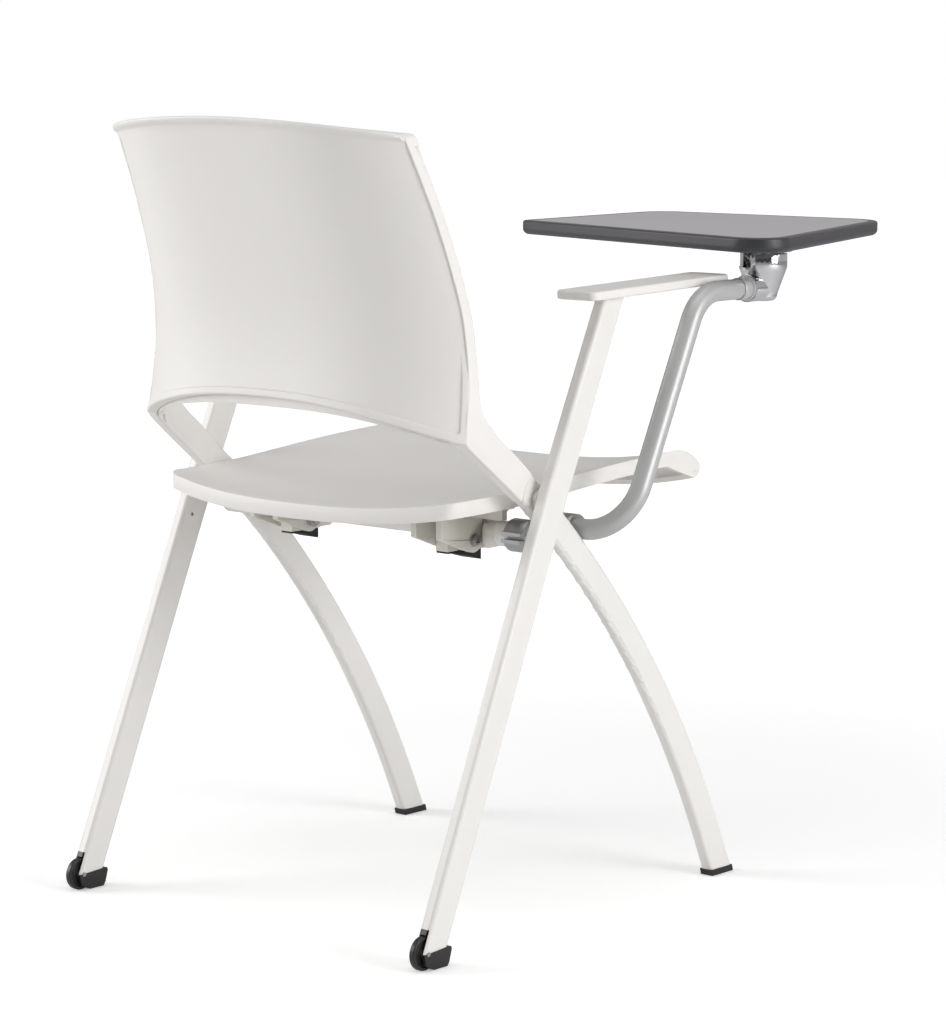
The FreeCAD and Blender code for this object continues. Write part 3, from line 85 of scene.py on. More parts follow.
@dataclass(frozen=True)
class SmoothLine:
    """A smooth line through a few measured stations, straight past its ends."""

    stations: Stations

    def slope(self, i: int) -> float:
        """Slope at station i, from its neighbours."""
        t0, v0 = self.stations[max(i - 1, 0)]
        t1, v1 = self.stations[min(i + 1, len(self.stations) - 1)]
        return (v1 - v0) / (t1 - t0)

    def at(self, t: float) -> float:
        """Value of the line at t."""
        s = self.stations
        if t <= s[0][0]:
            return s[0][1] + (t - s[0][0]) * self.slope(0)
        if t >= s[-1][0]:
            return s[-1][1] + (t - s[-1][0]) * self.slope(len(s) - 1)
        i = max(k for k in range(len(s) - 1) if s[k][0] <= t)
        width = s[i + 1][0] - s[i][0]
        u = (t - s[i][0]) / width
        m0, m1 = self.slope(i) * width, self.slope(i + 1) * width
        return (
            (2 * u**3 - 3 * u**2 + 1) * s[i][1] + (u**3 - 2 * u**2 + u) * m0
            + (3 * u**2 - 2 * u**3) * s[i + 1][1] + (u**3 - u**2) * m1
        )


# Mesh building
class MeshDraft:
    """Points and faces of one piece, gathered in millimetres."""

    def __init__(self) -> None:
        """Start an empty draft."""
        self.points: list[Vector] = []
        self.faces: list[tuple[int, ...]] = []

    def row(self, points: Sequence[Sequence[float]]) -> list[int]:
        """Add points and give their numbers.

        Args:
            points: places in millimetres.

        Returns:
            The new points' numbers, in order.
        """
        start = len(self.points)
        self.points.extend(Vector(p) for p in points)
        return list(range(start, len(self.points)))

    def bridge(self, one: list[int], other: list[int], closed: bool = False) -> None:
        """Fill between two rows of the same length with quads.

        Args:
            one: first row of point numbers.
            other: second row.
            closed: whether the rows are loops.
        """
        count = len(one) if closed else len(one) - 1
        for i in range(count):
            j = (i + 1) % len(one)
            self.faces.append((one[i], one[j], other[j], other[i]))

    def skin(self, rows: list[list[int]], closed: bool = False) -> None:
        """Bridge each row to the next."""
        for one, other in zip(rows, rows[1:]):
            self.bridge(one, other, closed)

    def extend(self, ring: list[int], rings: Sequence[Sequence[Vector]]) -> list[int]:
        """Carry a loop on through further loops; gives the last one's numbers."""
        for points in rings:
            new = self.row(points)
            self.bridge(ring, new, closed=True)
            ring = new
        return ring

    def cap(self, ring: list[int]) -> None:
        """Close a loop with one face."""
        self.faces.append(tuple(ring))

    def include(self, other: "MeshDraft") -> None:
        """Take in another draft's points and faces."""
        start = len(self.points)
        self.points.extend(other.points)
        self.faces.extend(tuple(i + start for i in face) for face in other.faces)

    def build(self, name: str, sharp: float = 38.0) -> bpy.types.Object:
        """Make the Blender object, in metres.

        Args:
            name: the piece's name.
            sharp: angle in degrees past which an edge stays sharp.

        Returns:
            The new object, linked to the scene.
        """
        mesh = bpy.data.meshes.new(name)
        mesh.from_pydata([p * MM for p in self.points], [], self.faces)
        work = bmesh.new()
        work.from_mesh(mesh)
        bmesh.ops.remove_doubles(work, verts=work.verts, dist=WELD_GAP)
        bmesh.ops.recalc_face_normals(work, faces=work.faces)
        work.to_mesh(mesh)
        work.free()
        mesh.polygons.foreach_set("use_smooth", [True] * len(mesh.polygons))
        mesh.set_sharp_from_angle(angle=math.radians(sharp))
        piece = bpy.data.objects.new(name, mesh)
        bpy.context.scene.collection.objects.link(piece)
        return piece


def rounded_edge(outer: list[Vector], inner: list[Vector], out: list[Vector], radius: float,
                 steps: int = 5, fullness: float = 0.7) -> list[list[Vector]]:
    """Rings that turn round a sheet's edge from its outer to its inner face.

    Args:
        outer: border of the outer face.
        inner: matching border of the inner face.
        out: direction away from the sheet at each point.
        radius: reach of the rounding past the border.
        steps: rings to make.
        fullness: power of the bulge; below 1 it is fuller than a half circle.

    Returns:
        Rings of points, outer side first.
    """
    rings = []
    for k in range(1, steps + 1):
        turn = math.pi * k / (steps + 1)
        ring = []
        for a, b, o in zip(outer, inner, out):
            ring.append(a.lerp(b, (1 - math.cos(turn)) / 2) + o * radius * math.sin(turn) ** fullness)
        rings.append(ring)
    return rings


# Finishes
class Grain(Enum):
    """Kinds of fine surface texture."""

    MOULDED = "moulded"
    POWDER = "powder"
    CAST = "cast"
    BRUSHED = "brushed"
    LAMINATE = "laminate"


@dataclass(frozen=True)
class Finish:
    """One material's look; the grain's size and height are in millimetres."""

    name: str
    colour: Point
    roughness: float
    grain: Grain
    metallic: float = 0.0
    coat: float = 0.0
    specular: float = 0.5
    grain_size: float = 0.6
    grain_height: float = 0.02
    mottle: float = 0.03
    # Painted edge highlight: how far sharp edges are lightened, and the lighter colour they take
    edge_highlight: float = 0.0
    highlight_colour: Point = (0.5, 0.5, 0.5)


FINISHES: dict[str, Finish] = {
    "frame_paint": Finish(
        "White powder coat", (0.80, 0.782, 0.758), 0.42, Grain.POWDER,
        coat=0.05, grain_size=1.1, grain_height=0.012, mottle=0.02),
    # Painted edge highlight on the cast metal's sharp edges
    "casting": Finish(
        "Beige grey cast metal", (0.70, 0.68, 0.62), 0.50, Grain.CAST,
        grain_size=0.9, grain_height=0.05, mottle=0.08, edge_highlight=0.25, highlight_colour=(0.78, 0.77, 0.72)),
    "shell_plastic": Finish(
        "Warm white moulded plastic", (0.80, 0.779, 0.757), 0.48, Grain.MOULDED,
        grain_size=0.45, grain_height=0.018, mottle=0.015),
    "satin_steel": Finish(
        "Satin steel bar", (0.62, 0.61, 0.58), 0.38, Grain.BRUSHED,
        metallic=0.6, grain_size=0.5, grain_height=0.02, mottle=0.06),
    # Painted edge highlight on the zinc's sharp edges
    "zinc": Finish(
        "Zinc plating", (0.40, 0.405, 0.41), 0.30, Grain.CAST,
        metallic=0.9, grain_size=0.7, grain_height=0.02, mottle=0.10,
        edge_highlight=0.2, highlight_colour=(0.72, 0.72, 0.73)),
    "silver_paint": Finish(
        "Silver paint", (0.475, 0.48, 0.475), 0.40, Grain.POWDER,
        metallic=0.25, coat=0.1, grain_size=0.5, grain_height=0.012, mottle=0.03),
    "light_plastic": Finish(
        "Light grey plastic", (0.62, 0.62, 0.60), 0.5, Grain.MOULDED, grain_height=0.02),
    "polished": Finish(
        "Polished casting", (0.64, 0.635, 0.66), 0.10, Grain.CAST,
        metallic=1.0, grain_size=3.0, grain_height=0.006, mottle=0.03),
    "black_plastic": Finish(
        "Black plastic", (0.012, 0.012, 0.013), 0.38, Grain.MOULDED,
        grain_size=0.5, grain_height=0.02, mottle=0.1),
    "rubber": Finish(
        "Black rubber", (0.010, 0.010, 0.010), 0.72, Grain.MOULDED,
        grain_size=0.8, grain_height=0.03, mottle=0.15),
    "tablet_edge": Finish(
        "Charcoal moulded edge", (0.034, 0.035, 0.040), 0.40, Grain.MOULDED,
        grain_size=0.5, grain_height=0.02, mottle=0.06),
    "laminate": Finish(
        "Grey fine-textured laminate", (0.44, 0.422, 0.448), 0.36, Grain.LAMINATE,
        grain_size=1.4, grain_height=0.05, mottle=0.05),
}


class NodeShop:
    """Builds the shared shader groups once and places them in materials.

    Noise scales are per metre and the painted edge highlight's radius is in metres. mix_colours and
    mix_result are the colour sockets of a Mix node, which share their names with its other sockets.
    """

    broad_scale = 14.0
    broad_share = 0.6
    fine_scale = 160.0
    fine_share = 0.4
    colour_swing = 2.0
    roughness_swing = 1.6
    highlight_radius = 0.0012
    highlight_samples = 4
    highlight_gain = 6.0
    highlight_scale = 300.0
    highlight_roughness = 0.6
    mix_colours = (6, 7)
    mix_result = 2

    def __init__(self) -> None:
        """Make the shared groups."""
        self.mottle = self.make_mottle()
        self.grain = {
            Grain.MOULDED: self.make_grain("Moulded grain", 1.0, 0.5),
            Grain.POWDER: self.make_grain("Powder coat peel", 0.55, 0.2),
            Grain.CAST: self.make_grain("Cast skin", 1.0, 0.9),
            Grain.BRUSHED: self.make_grain("Brushed lines", 1.0, 0.3, stretch=(1.0, 22.0, 1.0)),
            Grain.LAMINATE: self.make_grain("Pearl laminate", 1.0, 0.6),
        }
        self.edge_highlight = self.make_edge_highlight()

    @staticmethod
    def group(name: str, inputs: dict[str, tuple[str, object]], outputs: dict[str, str]) -> tuple:
        """New empty shader group.

        Args:
            name: the group's name.
            inputs: socket name to its type and starting value.
            outputs: socket name to its type.

        Returns:
            The group and its input and output nodes.
        """
        tree = bpy.data.node_groups.new(name, "ShaderNodeTree")
        for label, (kind, value) in inputs.items():
            socket = tree.interface.new_socket(label, in_out="INPUT", socket_type=kind)
            socket.default_value = value
        for label, kind in outputs.items():
            tree.interface.new_socket(label, in_out="OUTPUT", socket_type=kind)
        return tree, tree.nodes.new("NodeGroupInput"), tree.nodes.new("NodeGroupOutput")

    @staticmethod
    def maths(tree: bpy.types.NodeTree, operation: str, *values: object) -> bpy.types.NodeSocket:
        """Maths node fed by sockets or numbers; gives its output."""
        node = tree.nodes.new("ShaderNodeMath")
        node.operation = operation
        for socket, value in zip(node.inputs, values):
            if isinstance(value, (int, float)):
                socket.default_value = value
            else:
                tree.links.new(value, socket)
        return node.outputs[0]

    @staticmethod
    def noise(tree: bpy.types.NodeTree, place: bpy.types.NodeSocket, scale: object,
              detail: float = 2.0, rough: float = 0.5) -> bpy.types.NodeSocket:
        """Noise over a place; gives its value."""
        node = tree.nodes.new("ShaderNodeTexNoise")
        node.inputs["Detail"].default_value = detail
        node.inputs["Roughness"].default_value = rough
        tree.links.new(place, node.inputs["Vector"])
        if isinstance(scale, (int, float)):
            node.inputs["Scale"].default_value = scale
        else:
            tree.links.new(scale, node.inputs["Scale"])
        return node.outputs["Fac"]

    def make_mottle(self) -> bpy.types.NodeTree:
        """Group that varies a colour and a roughness softly over the surface."""
        tree, start, end = self.group(
            "Soft variation",
            {"Colour": ("NodeSocketColor", (0.8, 0.8, 0.8, 1.0)), "Roughness": ("NodeSocketFloat", 0.5),
             "Amount": ("NodeSocketFloat", 0.03)},
            {"Colour": "NodeSocketColor", "Roughness": "NodeSocketFloat"},
        )
        place = tree.nodes.new("ShaderNodeTexCoord").outputs["Object"]
        broad = self.noise(tree, place, self.broad_scale, 3.0)
        fine = self.noise(tree, place, self.fine_scale)
        value = self.maths(tree, "ADD", self.maths(tree, "MULTIPLY", broad, self.broad_share),
                           self.maths(tree, "MULTIPLY", fine, self.fine_share))
        centred = self.maths(tree, "SUBTRACT", value, 0.5)
        swing = self.maths(tree, "MULTIPLY", centred, start.outputs["Amount"])
        light = self.maths(tree, "MULTIPLY_ADD", swing, self.colour_swing, 1.0)
        tint = tree.nodes.new("ShaderNodeVectorMath")
        tint.operation = "SCALE"
        tree.links.new(start.outputs["Colour"], tint.inputs[0])
        tree.links.new(light, tint.inputs["Scale"])
        tree.links.new(tint.outputs[0], end.inputs["Colour"])
        rough = self.maths(tree, "MULTIPLY_ADD", swing, self.roughness_swing, start.outputs["Roughness"])
        tree.links.new(rough, end.inputs["Roughness"])
        return tree

    def make_grain(self, name: str, detail: float, mixed: float,
                   stretch: Point = (1.0, 1.0, 1.0)) -> bpy.types.NodeTree:
        """Group that gives a fine surface height.

        Args:
            name: the group's name.
            detail: extra octaves of the fine noise.
            mixed: share of pebbled cells against plain noise.
            stretch: scaling of the place, for drawn-out lines.

        Returns:
            The new group.
        """
        inputs = {"Size": ("NodeSocketFloat", Finish.grain_size)}
        tree, start, end = self.group(name, inputs, {"Height": "NodeSocketFloat"})
        place = tree.nodes.new("ShaderNodeTexCoord").outputs["Object"]
        mapping = tree.nodes.new("ShaderNodeMapping")
        mapping.inputs["Scale"].default_value = stretch
        tree.links.new(place, mapping.inputs["Vector"])
        scale = self.maths(tree, "DIVIDE", 1.0 / MM, start.outputs["Size"])
        plain = self.noise(tree, mapping.outputs[0], scale, 1.0 + detail)
        cells = tree.nodes.new("ShaderNodeTexVoronoi")
        cells.feature = "SMOOTH_F1"
        tree.links.new(mapping.outputs[0], cells.inputs["Vector"])
        tree.links.new(scale, cells.inputs["Scale"])
        height = self.maths(tree, "ADD", self.maths(tree, "MULTIPLY", plain, 1.0 - mixed),
                            self.maths(tree, "MULTIPLY", cells.outputs["Distance"], mixed))
        tree.links.new(height, end.inputs["Height"])
        return tree

    def make_edge_highlight(self) -> bpy.types.NodeTree:
        """Group that masks sharp outer edges for a painted edge highlight, broken up by noise."""
        tree, start, end = self.group("Painted edge highlight", {"Amount": ("NodeSocketFloat", 0.2)},
                                      {"Mask": "NodeSocketFloat"})
        bevel = tree.nodes.new("ShaderNodeBevel")
        bevel.samples = self.highlight_samples
        bevel.inputs["Radius"].default_value = self.highlight_radius
        facing = tree.nodes.new("ShaderNodeNewGeometry")
        turn = tree.nodes.new("ShaderNodeVectorMath")
        turn.operation = "DOT_PRODUCT"
        tree.links.new(bevel.outputs[0], turn.inputs[0])
        tree.links.new(facing.outputs["Normal"], turn.inputs[1])
        bend = self.maths(tree, "SUBTRACT", 1.0, turn.outputs["Value"])
        edge = self.maths(tree, "MULTIPLY", bend, self.highlight_gain)
        place = tree.nodes.new("ShaderNodeTexCoord").outputs["Object"]
        patchy = self.noise(tree, place, self.highlight_scale, 3.0, self.highlight_roughness)
        broken_highlight = self.maths(tree, "MULTIPLY", edge, patchy)
        mask = self.maths(tree, "MULTIPLY", broken_highlight, start.outputs["Amount"])
        limited = self.maths(tree, "MINIMUM", self.maths(tree, "MAXIMUM", mask, 0.0), 1.0)
        tree.links.new(limited, end.inputs["Mask"])
        return tree

    @staticmethod
    def place_group(tree: bpy.types.NodeTree, group: bpy.types.NodeTree,
                    **values: object) -> bpy.types.Node:
        """Put a shared group in a material with its own values."""
        node = tree.nodes.new("ShaderNodeGroup")
        node.node_tree = group
        for label, value in values.items():
            node.inputs[label].default_value = value
        return node

    def material(self, finish: Finish) -> bpy.types.Material:
        """Material of one finish.

        Args:
            finish: the look to build.

        Returns:
            The new material.
        """
        made = bpy.data.materials.new(finish.name)
        made.use_nodes = True
        tree = made.node_tree
        shader = tree.nodes["Principled BSDF"]
        shader.inputs["Metallic"].default_value = finish.metallic
        shader.inputs["Coat Weight"].default_value = finish.coat
        shader.inputs["Specular IOR Level"].default_value = finish.specular
        varied = self.place_group(tree, self.mottle, Colour=(*finish.colour, 1.0),
                                  Roughness=finish.roughness, Amount=finish.mottle)
        colour = varied.outputs["Colour"]
        # Painted edge highlight: sharp edges lightened towards a paler colour, broken up by noise
        if finish.edge_highlight > 0:
            mask = self.place_group(tree, self.edge_highlight, Amount=finish.edge_highlight)
            blend = tree.nodes.new("ShaderNodeMix")
            blend.data_type = "RGBA"
            tree.links.new(mask.outputs["Mask"], blend.inputs["Factor"])
            plain, highlighted = (blend.inputs[i] for i in self.mix_colours)
            tree.links.new(colour, plain)
            highlighted.default_value = (*finish.highlight_colour, 1.0)
            colour = blend.outputs[self.mix_result]
        tree.links.new(colour, shader.inputs["Base Color"])
        tree.links.new(varied.outputs["Roughness"], shader.inputs["Roughness"])
        grain = self.place_group(tree, self.grain[finish.grain], Size=finish.grain_size)
        bump = tree.nodes.new("ShaderNodeBump")
        bump.inputs["Distance"].default_value = finish.grain_height * MM
        bump.inputs["Strength"].default_value = 1.0
        tree.links.new(grain.outputs["Height"], bump.inputs["Height"])
        tree.links.new(bump.outputs["Normal"], shader.inputs["Normal"])
        return made


class Wardrobe:
    """Every finish of the chair as a ready material."""

    def __init__(self) -> None:
        """Build one material for each of the record's slots."""
        shop = NodeShop()
        self.materials = {slot: shop.material(finish) for slot, finish in FINISHES.items()}

    def dress_node(self, name: str, slot: str) -> None:
        """Give a fixed node its finish."""
        piece = frame["nodes"][name]
        piece.data.materials.clear()
        piece.data.materials.append(self.materials[slot])
        log.info("node %s: %s", name, self.materials[slot].name)

    def dress_piece(self, piece: bpy.types.Object, slot: str, body: str, *replaced: str) -> None:
        """Give a new piece its finish, its body and the nodes it stands for."""
        piece.data.materials.clear()
        piece.data.materials.append(self.materials[slot])
        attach(piece, body)
        if replaced:
            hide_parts(*replaced)
        log.info("piece %s rides on %s", piece.name, body)


# The back
@dataclass
class BackAssembly:
    """Moulded back: rear shell with its side walls and arms, and the thinner front shell.

    All lengths are in millimetres. A place on a shell is its height z and its share s of the
    half width, from -1 at the sitter's right edge to 1 at the left one.
    """

    # Side edges against height, and the curve in plan between them
    edge_x: SmoothLine = SmoothLine((
        (518, 229.5), (552, 226.7), (595, 224.5), (639, 221.9), (683, 217.6), (727, 214.1), (770, 209.9),
        (813, 205.6), (842, 204.3),
    ))
    edge_y: SmoothLine = SmoothLine((
        (518, 168.5), (552, 162.6), (595, 159.6), (639, 162.8), (683, 173.2), (727, 188.6), (770, 206.2),
        (813, 226.3), (842, 240.5),
    ))
    bulge: SmoothLine = SmoothLine(((518, 66.0), (680, 60.0), (842, 52.0)))
    roundness: float = 4.0

    # Steps in share and height that find a face's direction, and a reach taken as nothing
    probe: tuple[float, float] = (0.01, 0.5)
    tiny: float = 1e-6

    # Top edge and arch of the rear shell
    top_centre: float = 841.5
    top_drop: float = 15.0
    arch_centre: float = 554.5
    arch_drop: float = 38.5
    arch_power: float = 2.5

    # Recessed panel: its lower and side borders, the side ones fading in with height
    panel_rise: float = 7.5
    panel_gain: float = 1.0
    panel_side: float = 4.5
    panel_corner: float = 5.0
    panel_step: float = 1.1
    recess: float = 2.0
    fade_start: float = 572.0
    fade_end: float = 612.0

    # Flared top edge with its bead and the groove below it
    top_corner: float = 7.0
    flare: float = 8.0
    flare_reach: float = 15.0
    bead: float = 1.3
    bead_place: float = 4.0
    bead_width: float = 3.4
    bead_sharpness: float = 2.2
    groove: float = 0.5
    groove_place: float = 9.0
    groove_width: float = 1.6

    # Columns by their distance from the side edge, rows by theirs from the lower and the top
    # edge; the first rows above the arch come to follow the panel's border in follow_rows
    half_width: float = 224.0
    columns_from_side: tuple[float, ...] = (
        1.5, 2.6, 3.4, 3.9, 4.2, 4.5, 4.8, 5.1, 5.5, 6.2, 8.0, 11.0, 15.0, 21.0,
    )
    rows_from_arch: tuple[float, ...] = (
        3.4, 4.4, 5.2, 5.8, 6.4, 7.0, 7.6, 8.2, 9.0, 10.2, 12.0, 14.5, 18.0, 24.0,
    )
    rows_from_top: tuple[float, ...] = (
        30.0, 24.0, 19.0, 15.0, 12.5, 10.5, 9.0, 8.0, 7.0, 6.2, 5.4, 4.6, 3.8, 3.0,
    )
    middle_columns: int = 22
    middle_rows: int = 40
    follow_rows: float = 4.0

    # Rounded rim and the skirt that turns forward from it: the rim's radius along the arch and
    # the top and at the sides, and the skirt's reach, with its profile as inset and share of reach
    edge_round: float = 2.3
    side_round: float = 0.5
    side_blend: float = 5.0
    edge_band: float = 14.0
    rim_steps: int = 6
    skirt_start: float = 0.9
    foot_skirt: float = 9.0
    side_skirt: float = 4.0
    top_lap: float = 1.5
    skirt_profile: Stations = ((0.0, 0.0), (0.2, 1.0), (2.6, 1.0), (2.8, 0.0))
    middle_height: float = 690.0

    # Side wall: height and depth of its front line, its lean and thickness
    wall_front: Stations = (
        (823.5, 221.0), (818.0, 218.5), (770.0, 195.0), (733.0, 180.0), (688.0, 163.0), (646.5, 153.5),
        (607.0, 147.5), (580.0, 146.5), (565.7, 146.2),
    )
    wall_lap: float = 0.3
    wall_lean: Ramp = Ramp(0.6, 3.4, 640.0, 75.0)
    wall_thickness: Ramp = Ramp(3.0, 8.0, 600.0, 40.0)
    wall_steps: int = 5
    corner_share: float = 0.42
    corner_points: int = 5

    # Arm: rear line, front line and thickness down to the seam with the frame
    arm: tuple[tuple[Point, Point, float], ...] = (
        ((226.8, 163.6, 553.0), (231.0, 145.5, 554.4), 11.0),
        ((227.6, 165.0, 545.0), (232.0, 141.0, 542.0), 13.0),
        ((228.6, 167.1, 532.0), (232.8, 131.0, 531.0), 14.0),
        ((229.5, 168.5, 518.0), (233.4, 119.5, 519.0), 14.0),
        ((230.4, 160.4, 509.0), (234.0, 109.0, 510.0), 14.0),
        ((231.5, 150.0, 500.5), (234.6, 97.5, 501.0), 14.0),
        ((232.7, 133.0, 487.0), (235.2, 86.5, 491.5), 14.0),
        ((234.0, 110.0, 469.0), (235.8, 77.0, 483.0), 14.0),
        ((235.0, 88.5, 451.8), (236.0, 73.5, 479.5), 14.0),
    )
    arm_rear: SmoothLine = SmoothLine(((487, 133.0), (500.5, 150.0), (509, 160.4), (518, 168.5)))
    arm_top: float = 520.0
    arm_cover: float = 0.5

    # Front shell: its gap to the rear face, its arch and the dips at the arch's ends
    shell_gap: float = 12.0
    corner_gap: float = 0.6
    front_skin: float = 3.0
    front_round: float = 1.5
    front_top: float = 1.5
    front_arch: float = 545.0
    front_drop: float = 36.0
    front_power: int = 3
    front_dip: float = 12.0
    dip_start: float = 0.85
    dip_span: float = 0.09
    dip_power: float = 2.4
    front_half_width: float = 219.0
    front_width: float = 0.985
    front_from_side: tuple[float, ...] = (1.5, 3.0, 6.0, 9.5, 13.0, 16.5, 20.0, 24.0, 29.0, 36.0)
    front_middle: int = 16
    front_rows: int = 34

    def low(self, s: float) -> float:
        """Height of the rear shell's lower edge at share s of its half width."""
        return self.arch_centre - self.arch_drop * abs(s) ** self.arch_power

    def high(self, s: float) -> float:
        """Height of the top edge."""
        return self.top_centre - self.top_drop * s * s

    def surface(self, s: float, z: float, ahead: float = 0.0) -> Vector:
        """Point of the rear face, or this far ahead of it."""
        x = s * self.edge_x.at(z)
        y = self.edge_y.at(z) + self.bulge.at(z) * (1.0 - abs(s) ** self.roundness)
        return Vector((x, y - ahead, z))

    def panel_depth(self, s: float, z: float) -> float:
        """Depth of the recessed panel at a place on the rear face."""
        above = z - self.low(s) - (self.panel_rise + self.panel_gain * s * s)
        inside = self.edge_x.at(z) * (1.0 - abs(s)) - self.panel_side
        r = self.panel_corner
        nearest = min(above, inside)
        if above < r and inside < r:
            nearest = r - math.hypot(r - above, r - inside)
        fade = smoothstep((z - self.fade_start) / (self.fade_end - self.fade_start))
        with_side = smoothstep(nearest / self.panel_step + 0.5)
        without = smoothstep(above / self.panel_step + 0.5)
        return self.recess * mix(with_side, without, fade)

    @staticmethod
    def share_columns(from_side: Sequence[float], half_width: float, middle: int) -> list[float]:
        """Column shares from -1 to 1: close together at the sides, even in the middle.

        Args:
            from_side: distances of the close columns from the side edge.
            half_width: half width that turns a distance into a share.
            middle: steps from the last close column to the centre.

        Returns:
            The shares from one side to the other.
        """
        right = [1.0 - d / half_width for d in from_side]
        inmost = right[-1]
        right += [inmost * (1 - k / middle) for k in range(1, middle)]
        return [-s for s in right] + [0.0] + right[::-1]

    def rear_face(self) -> list[list[Vector]]:
        """Rows of the rear face from the lower edge to the rolled top."""
        columns = self.share_columns(
            (self.side_round, *self.columns_from_side), self.half_width, self.middle_columns)
        foot = (self.edge_round, *self.rows_from_arch)
        crest = (*self.rows_from_top, self.edge_round)
        rows = []
        for k, d in enumerate(foot):
            follow = smoothstep((k - 1) / self.follow_rows)
            rows.append([self.low(s) + d + self.panel_gain * s * s * follow for s in columns])
        for k in range(1, self.middle_rows):
            rows.append([mix(rows[len(foot) - 1][i], self.high(s) - crest[0], k / self.middle_rows)
                         for i, s in enumerate(columns)])
        for d in crest:
            rows.append([self.high(s) - d for s in columns])
        return [[self.rear_point(s, z) for s, z in zip(columns, row)] for row in rows]

    def rear_point(self, s: float, z: float) -> Vector:
        """Point of the finished rear face: panel, bead, flare and rounded top corners."""
        from_top = self.high(s) - z
        depth = self.panel_depth(s, z)
        from_side = self.edge_x.at(z) * (1.0 - abs(s))
        r = self.top_corner
        if from_top < r and from_side < r:
            a, b = r - from_side, r - from_top
            longest, reach = max(a, b), math.hypot(a, b)
            if reach > self.tiny:
                shrink = longest / reach
                from_side, from_top = r - a * shrink, r - b * shrink
                z = self.high(s) - from_top
                s = math.copysign(1.0 - from_side / self.edge_x.at(z), s)
        point = self.surface(s, z)
        away = self.normal(s, z)
        lift = self.flare * max(0.0, 1.0 - from_top / self.flare_reach) ** 2
        off_bead = (from_top - self.bead_place) / self.bead_width
        ridge = self.bead * math.exp(-(off_bead**2) * self.bead_sharpness)
        off_groove = (from_top - self.groove_place) / self.groove_width
        dip = self.groove * math.exp(-(off_groove**2))
        return point + away * (ridge - dip - depth) + Vector((0.0, lift, 0.0))

    def normal(self, s: float, z: float) -> Vector:
        """Direction out of the rear face."""
        aside, rise = self.probe
        across = self.surface(s + aside, z) - self.surface(s - aside, z)
        up = self.surface(s, z + rise) - self.surface(s, z - rise)
        return up.cross(across).normalized()

    def rear_shell(self) -> MeshDraft:
        """Rear face, rounded rim and the skirts that turn forward from it."""
        draft = MeshDraft()
        grid = self.rear_face()
        rows = [draft.row(row) for row in grid]
        draft.skin(rows)
        draft.extend(self.border(rows), self.rim_rings(self.border(grid)))
        return draft

    @staticmethod
    def border(grid: list[list]) -> list:
        """Border of a grid of rows, once round."""
        bottom, top = grid[0], grid[-1]
        left = [row[0] for row in grid[1:-1]]
        right = [row[-1] for row in grid[1:-1]]
        return bottom + right + top[::-1] + left[::-1]

    def rim_rings(self, border: list[Vector]) -> list[list[Vector]]:
        """Rings round the rim: the rounding, then a skirt that reaches forward."""
        outs, skirts, leads, radii = [], [], [], []
        for i, point in enumerate(border):
            s = max(-1.0, min(1.0, point.x / self.edge_x.at(point.z)))
            away = self.normal(s, point.z)
            outs.append((self.outward(border, i, away), away))
            low = point.z < self.low(s) + self.edge_band
            high = point.z > self.high(s) - self.edge_band
            from_side = self.edge_x.at(point.z) * (1.0 - abs(s))
            radii.append(mix(self.side_round, self.edge_round, smoothstep(from_side / self.side_blend)))
            ahead = self.front_point(s, point.z, self.shell_gap)
            closing = point.y - ahead.y - self.edge_round + self.top_lap
            skirts.append(self.foot_skirt if low else closing if high else self.side_skirt)
            leads.append(Vector((0.0, 1.0, 0.0)) if high else away)
        rings = []
        for k in range(1, self.rim_steps + 1):
            turn = math.pi / 2 * k / self.rim_steps
            rings.append([p + o * r * math.sin(turn) - a * r * (1 - math.cos(turn))
                          for p, (o, a), r in zip(border, outs, radii)])
        for inset, reach in self.skirt_profile:
            rings.append([p + o * (r - inset) - lead * (r + mix(self.skirt_start, depth, reach))
                          for p, (o, _), lead, depth, r in zip(border, outs, leads, skirts, radii)])
        return rings

    def outward(self, border: list[Vector], i: int, away: Vector) -> Vector:
        """Direction off the sheet at point i of its border.

        Args:
            border: the sheet's border, once round.
            i: number of the point on it.
            away: direction out of the sheet's face there.

        Returns:
            The direction, of length 1.
        """
        tangent = (border[(i + 1) % len(border)] - border[i - 1]).normalized()
        out = tangent.cross(away).normalized()
        from_middle = border[i] - Vector((0.0, border[i].y, self.middle_height))
        return -out if out.dot(from_middle) < 0 else out

    def side_sections(self) -> list[tuple[Point, Point, float]]:
        """Stations of the left side wall and arm: rear line, front line and thickness."""
        sections = []
        for z, front_y in self.wall_front:
            x, y = self.edge_x.at(z), self.edge_y.at(z)
            rear, front = (x, y + self.wall_lap, z), (x + self.wall_lean.at(z), front_y, z)
            sections.append((rear, front, self.wall_thickness.at(z)))
        return sections + list(self.arm)

    def section_ring(self, rear: Vector, front: Vector, thick: float) -> list[Vector]:
        """Rounded four-sided section between the rear and the front line."""
        inward = Vector((-thick, 0.0, 0.0))
        corners = [rear, front, front + inward, rear + inward]
        radius = min(self.edge_round, thick * self.corner_share)
        ring = []
        for i, corner in enumerate(corners):
            before = (corners[i - 1] - corner).normalized()
            after = (corners[(i + 1) % len(corners)] - corner).normalized()
            for k in range(self.corner_points):
                share = k / (self.corner_points - 1)
                start, end = corner + before * radius, corner + after * radius
                ring.append(start * (1 - share) ** 2 + corner * 2 * share * (1 - share) + end * share**2)
        return ring

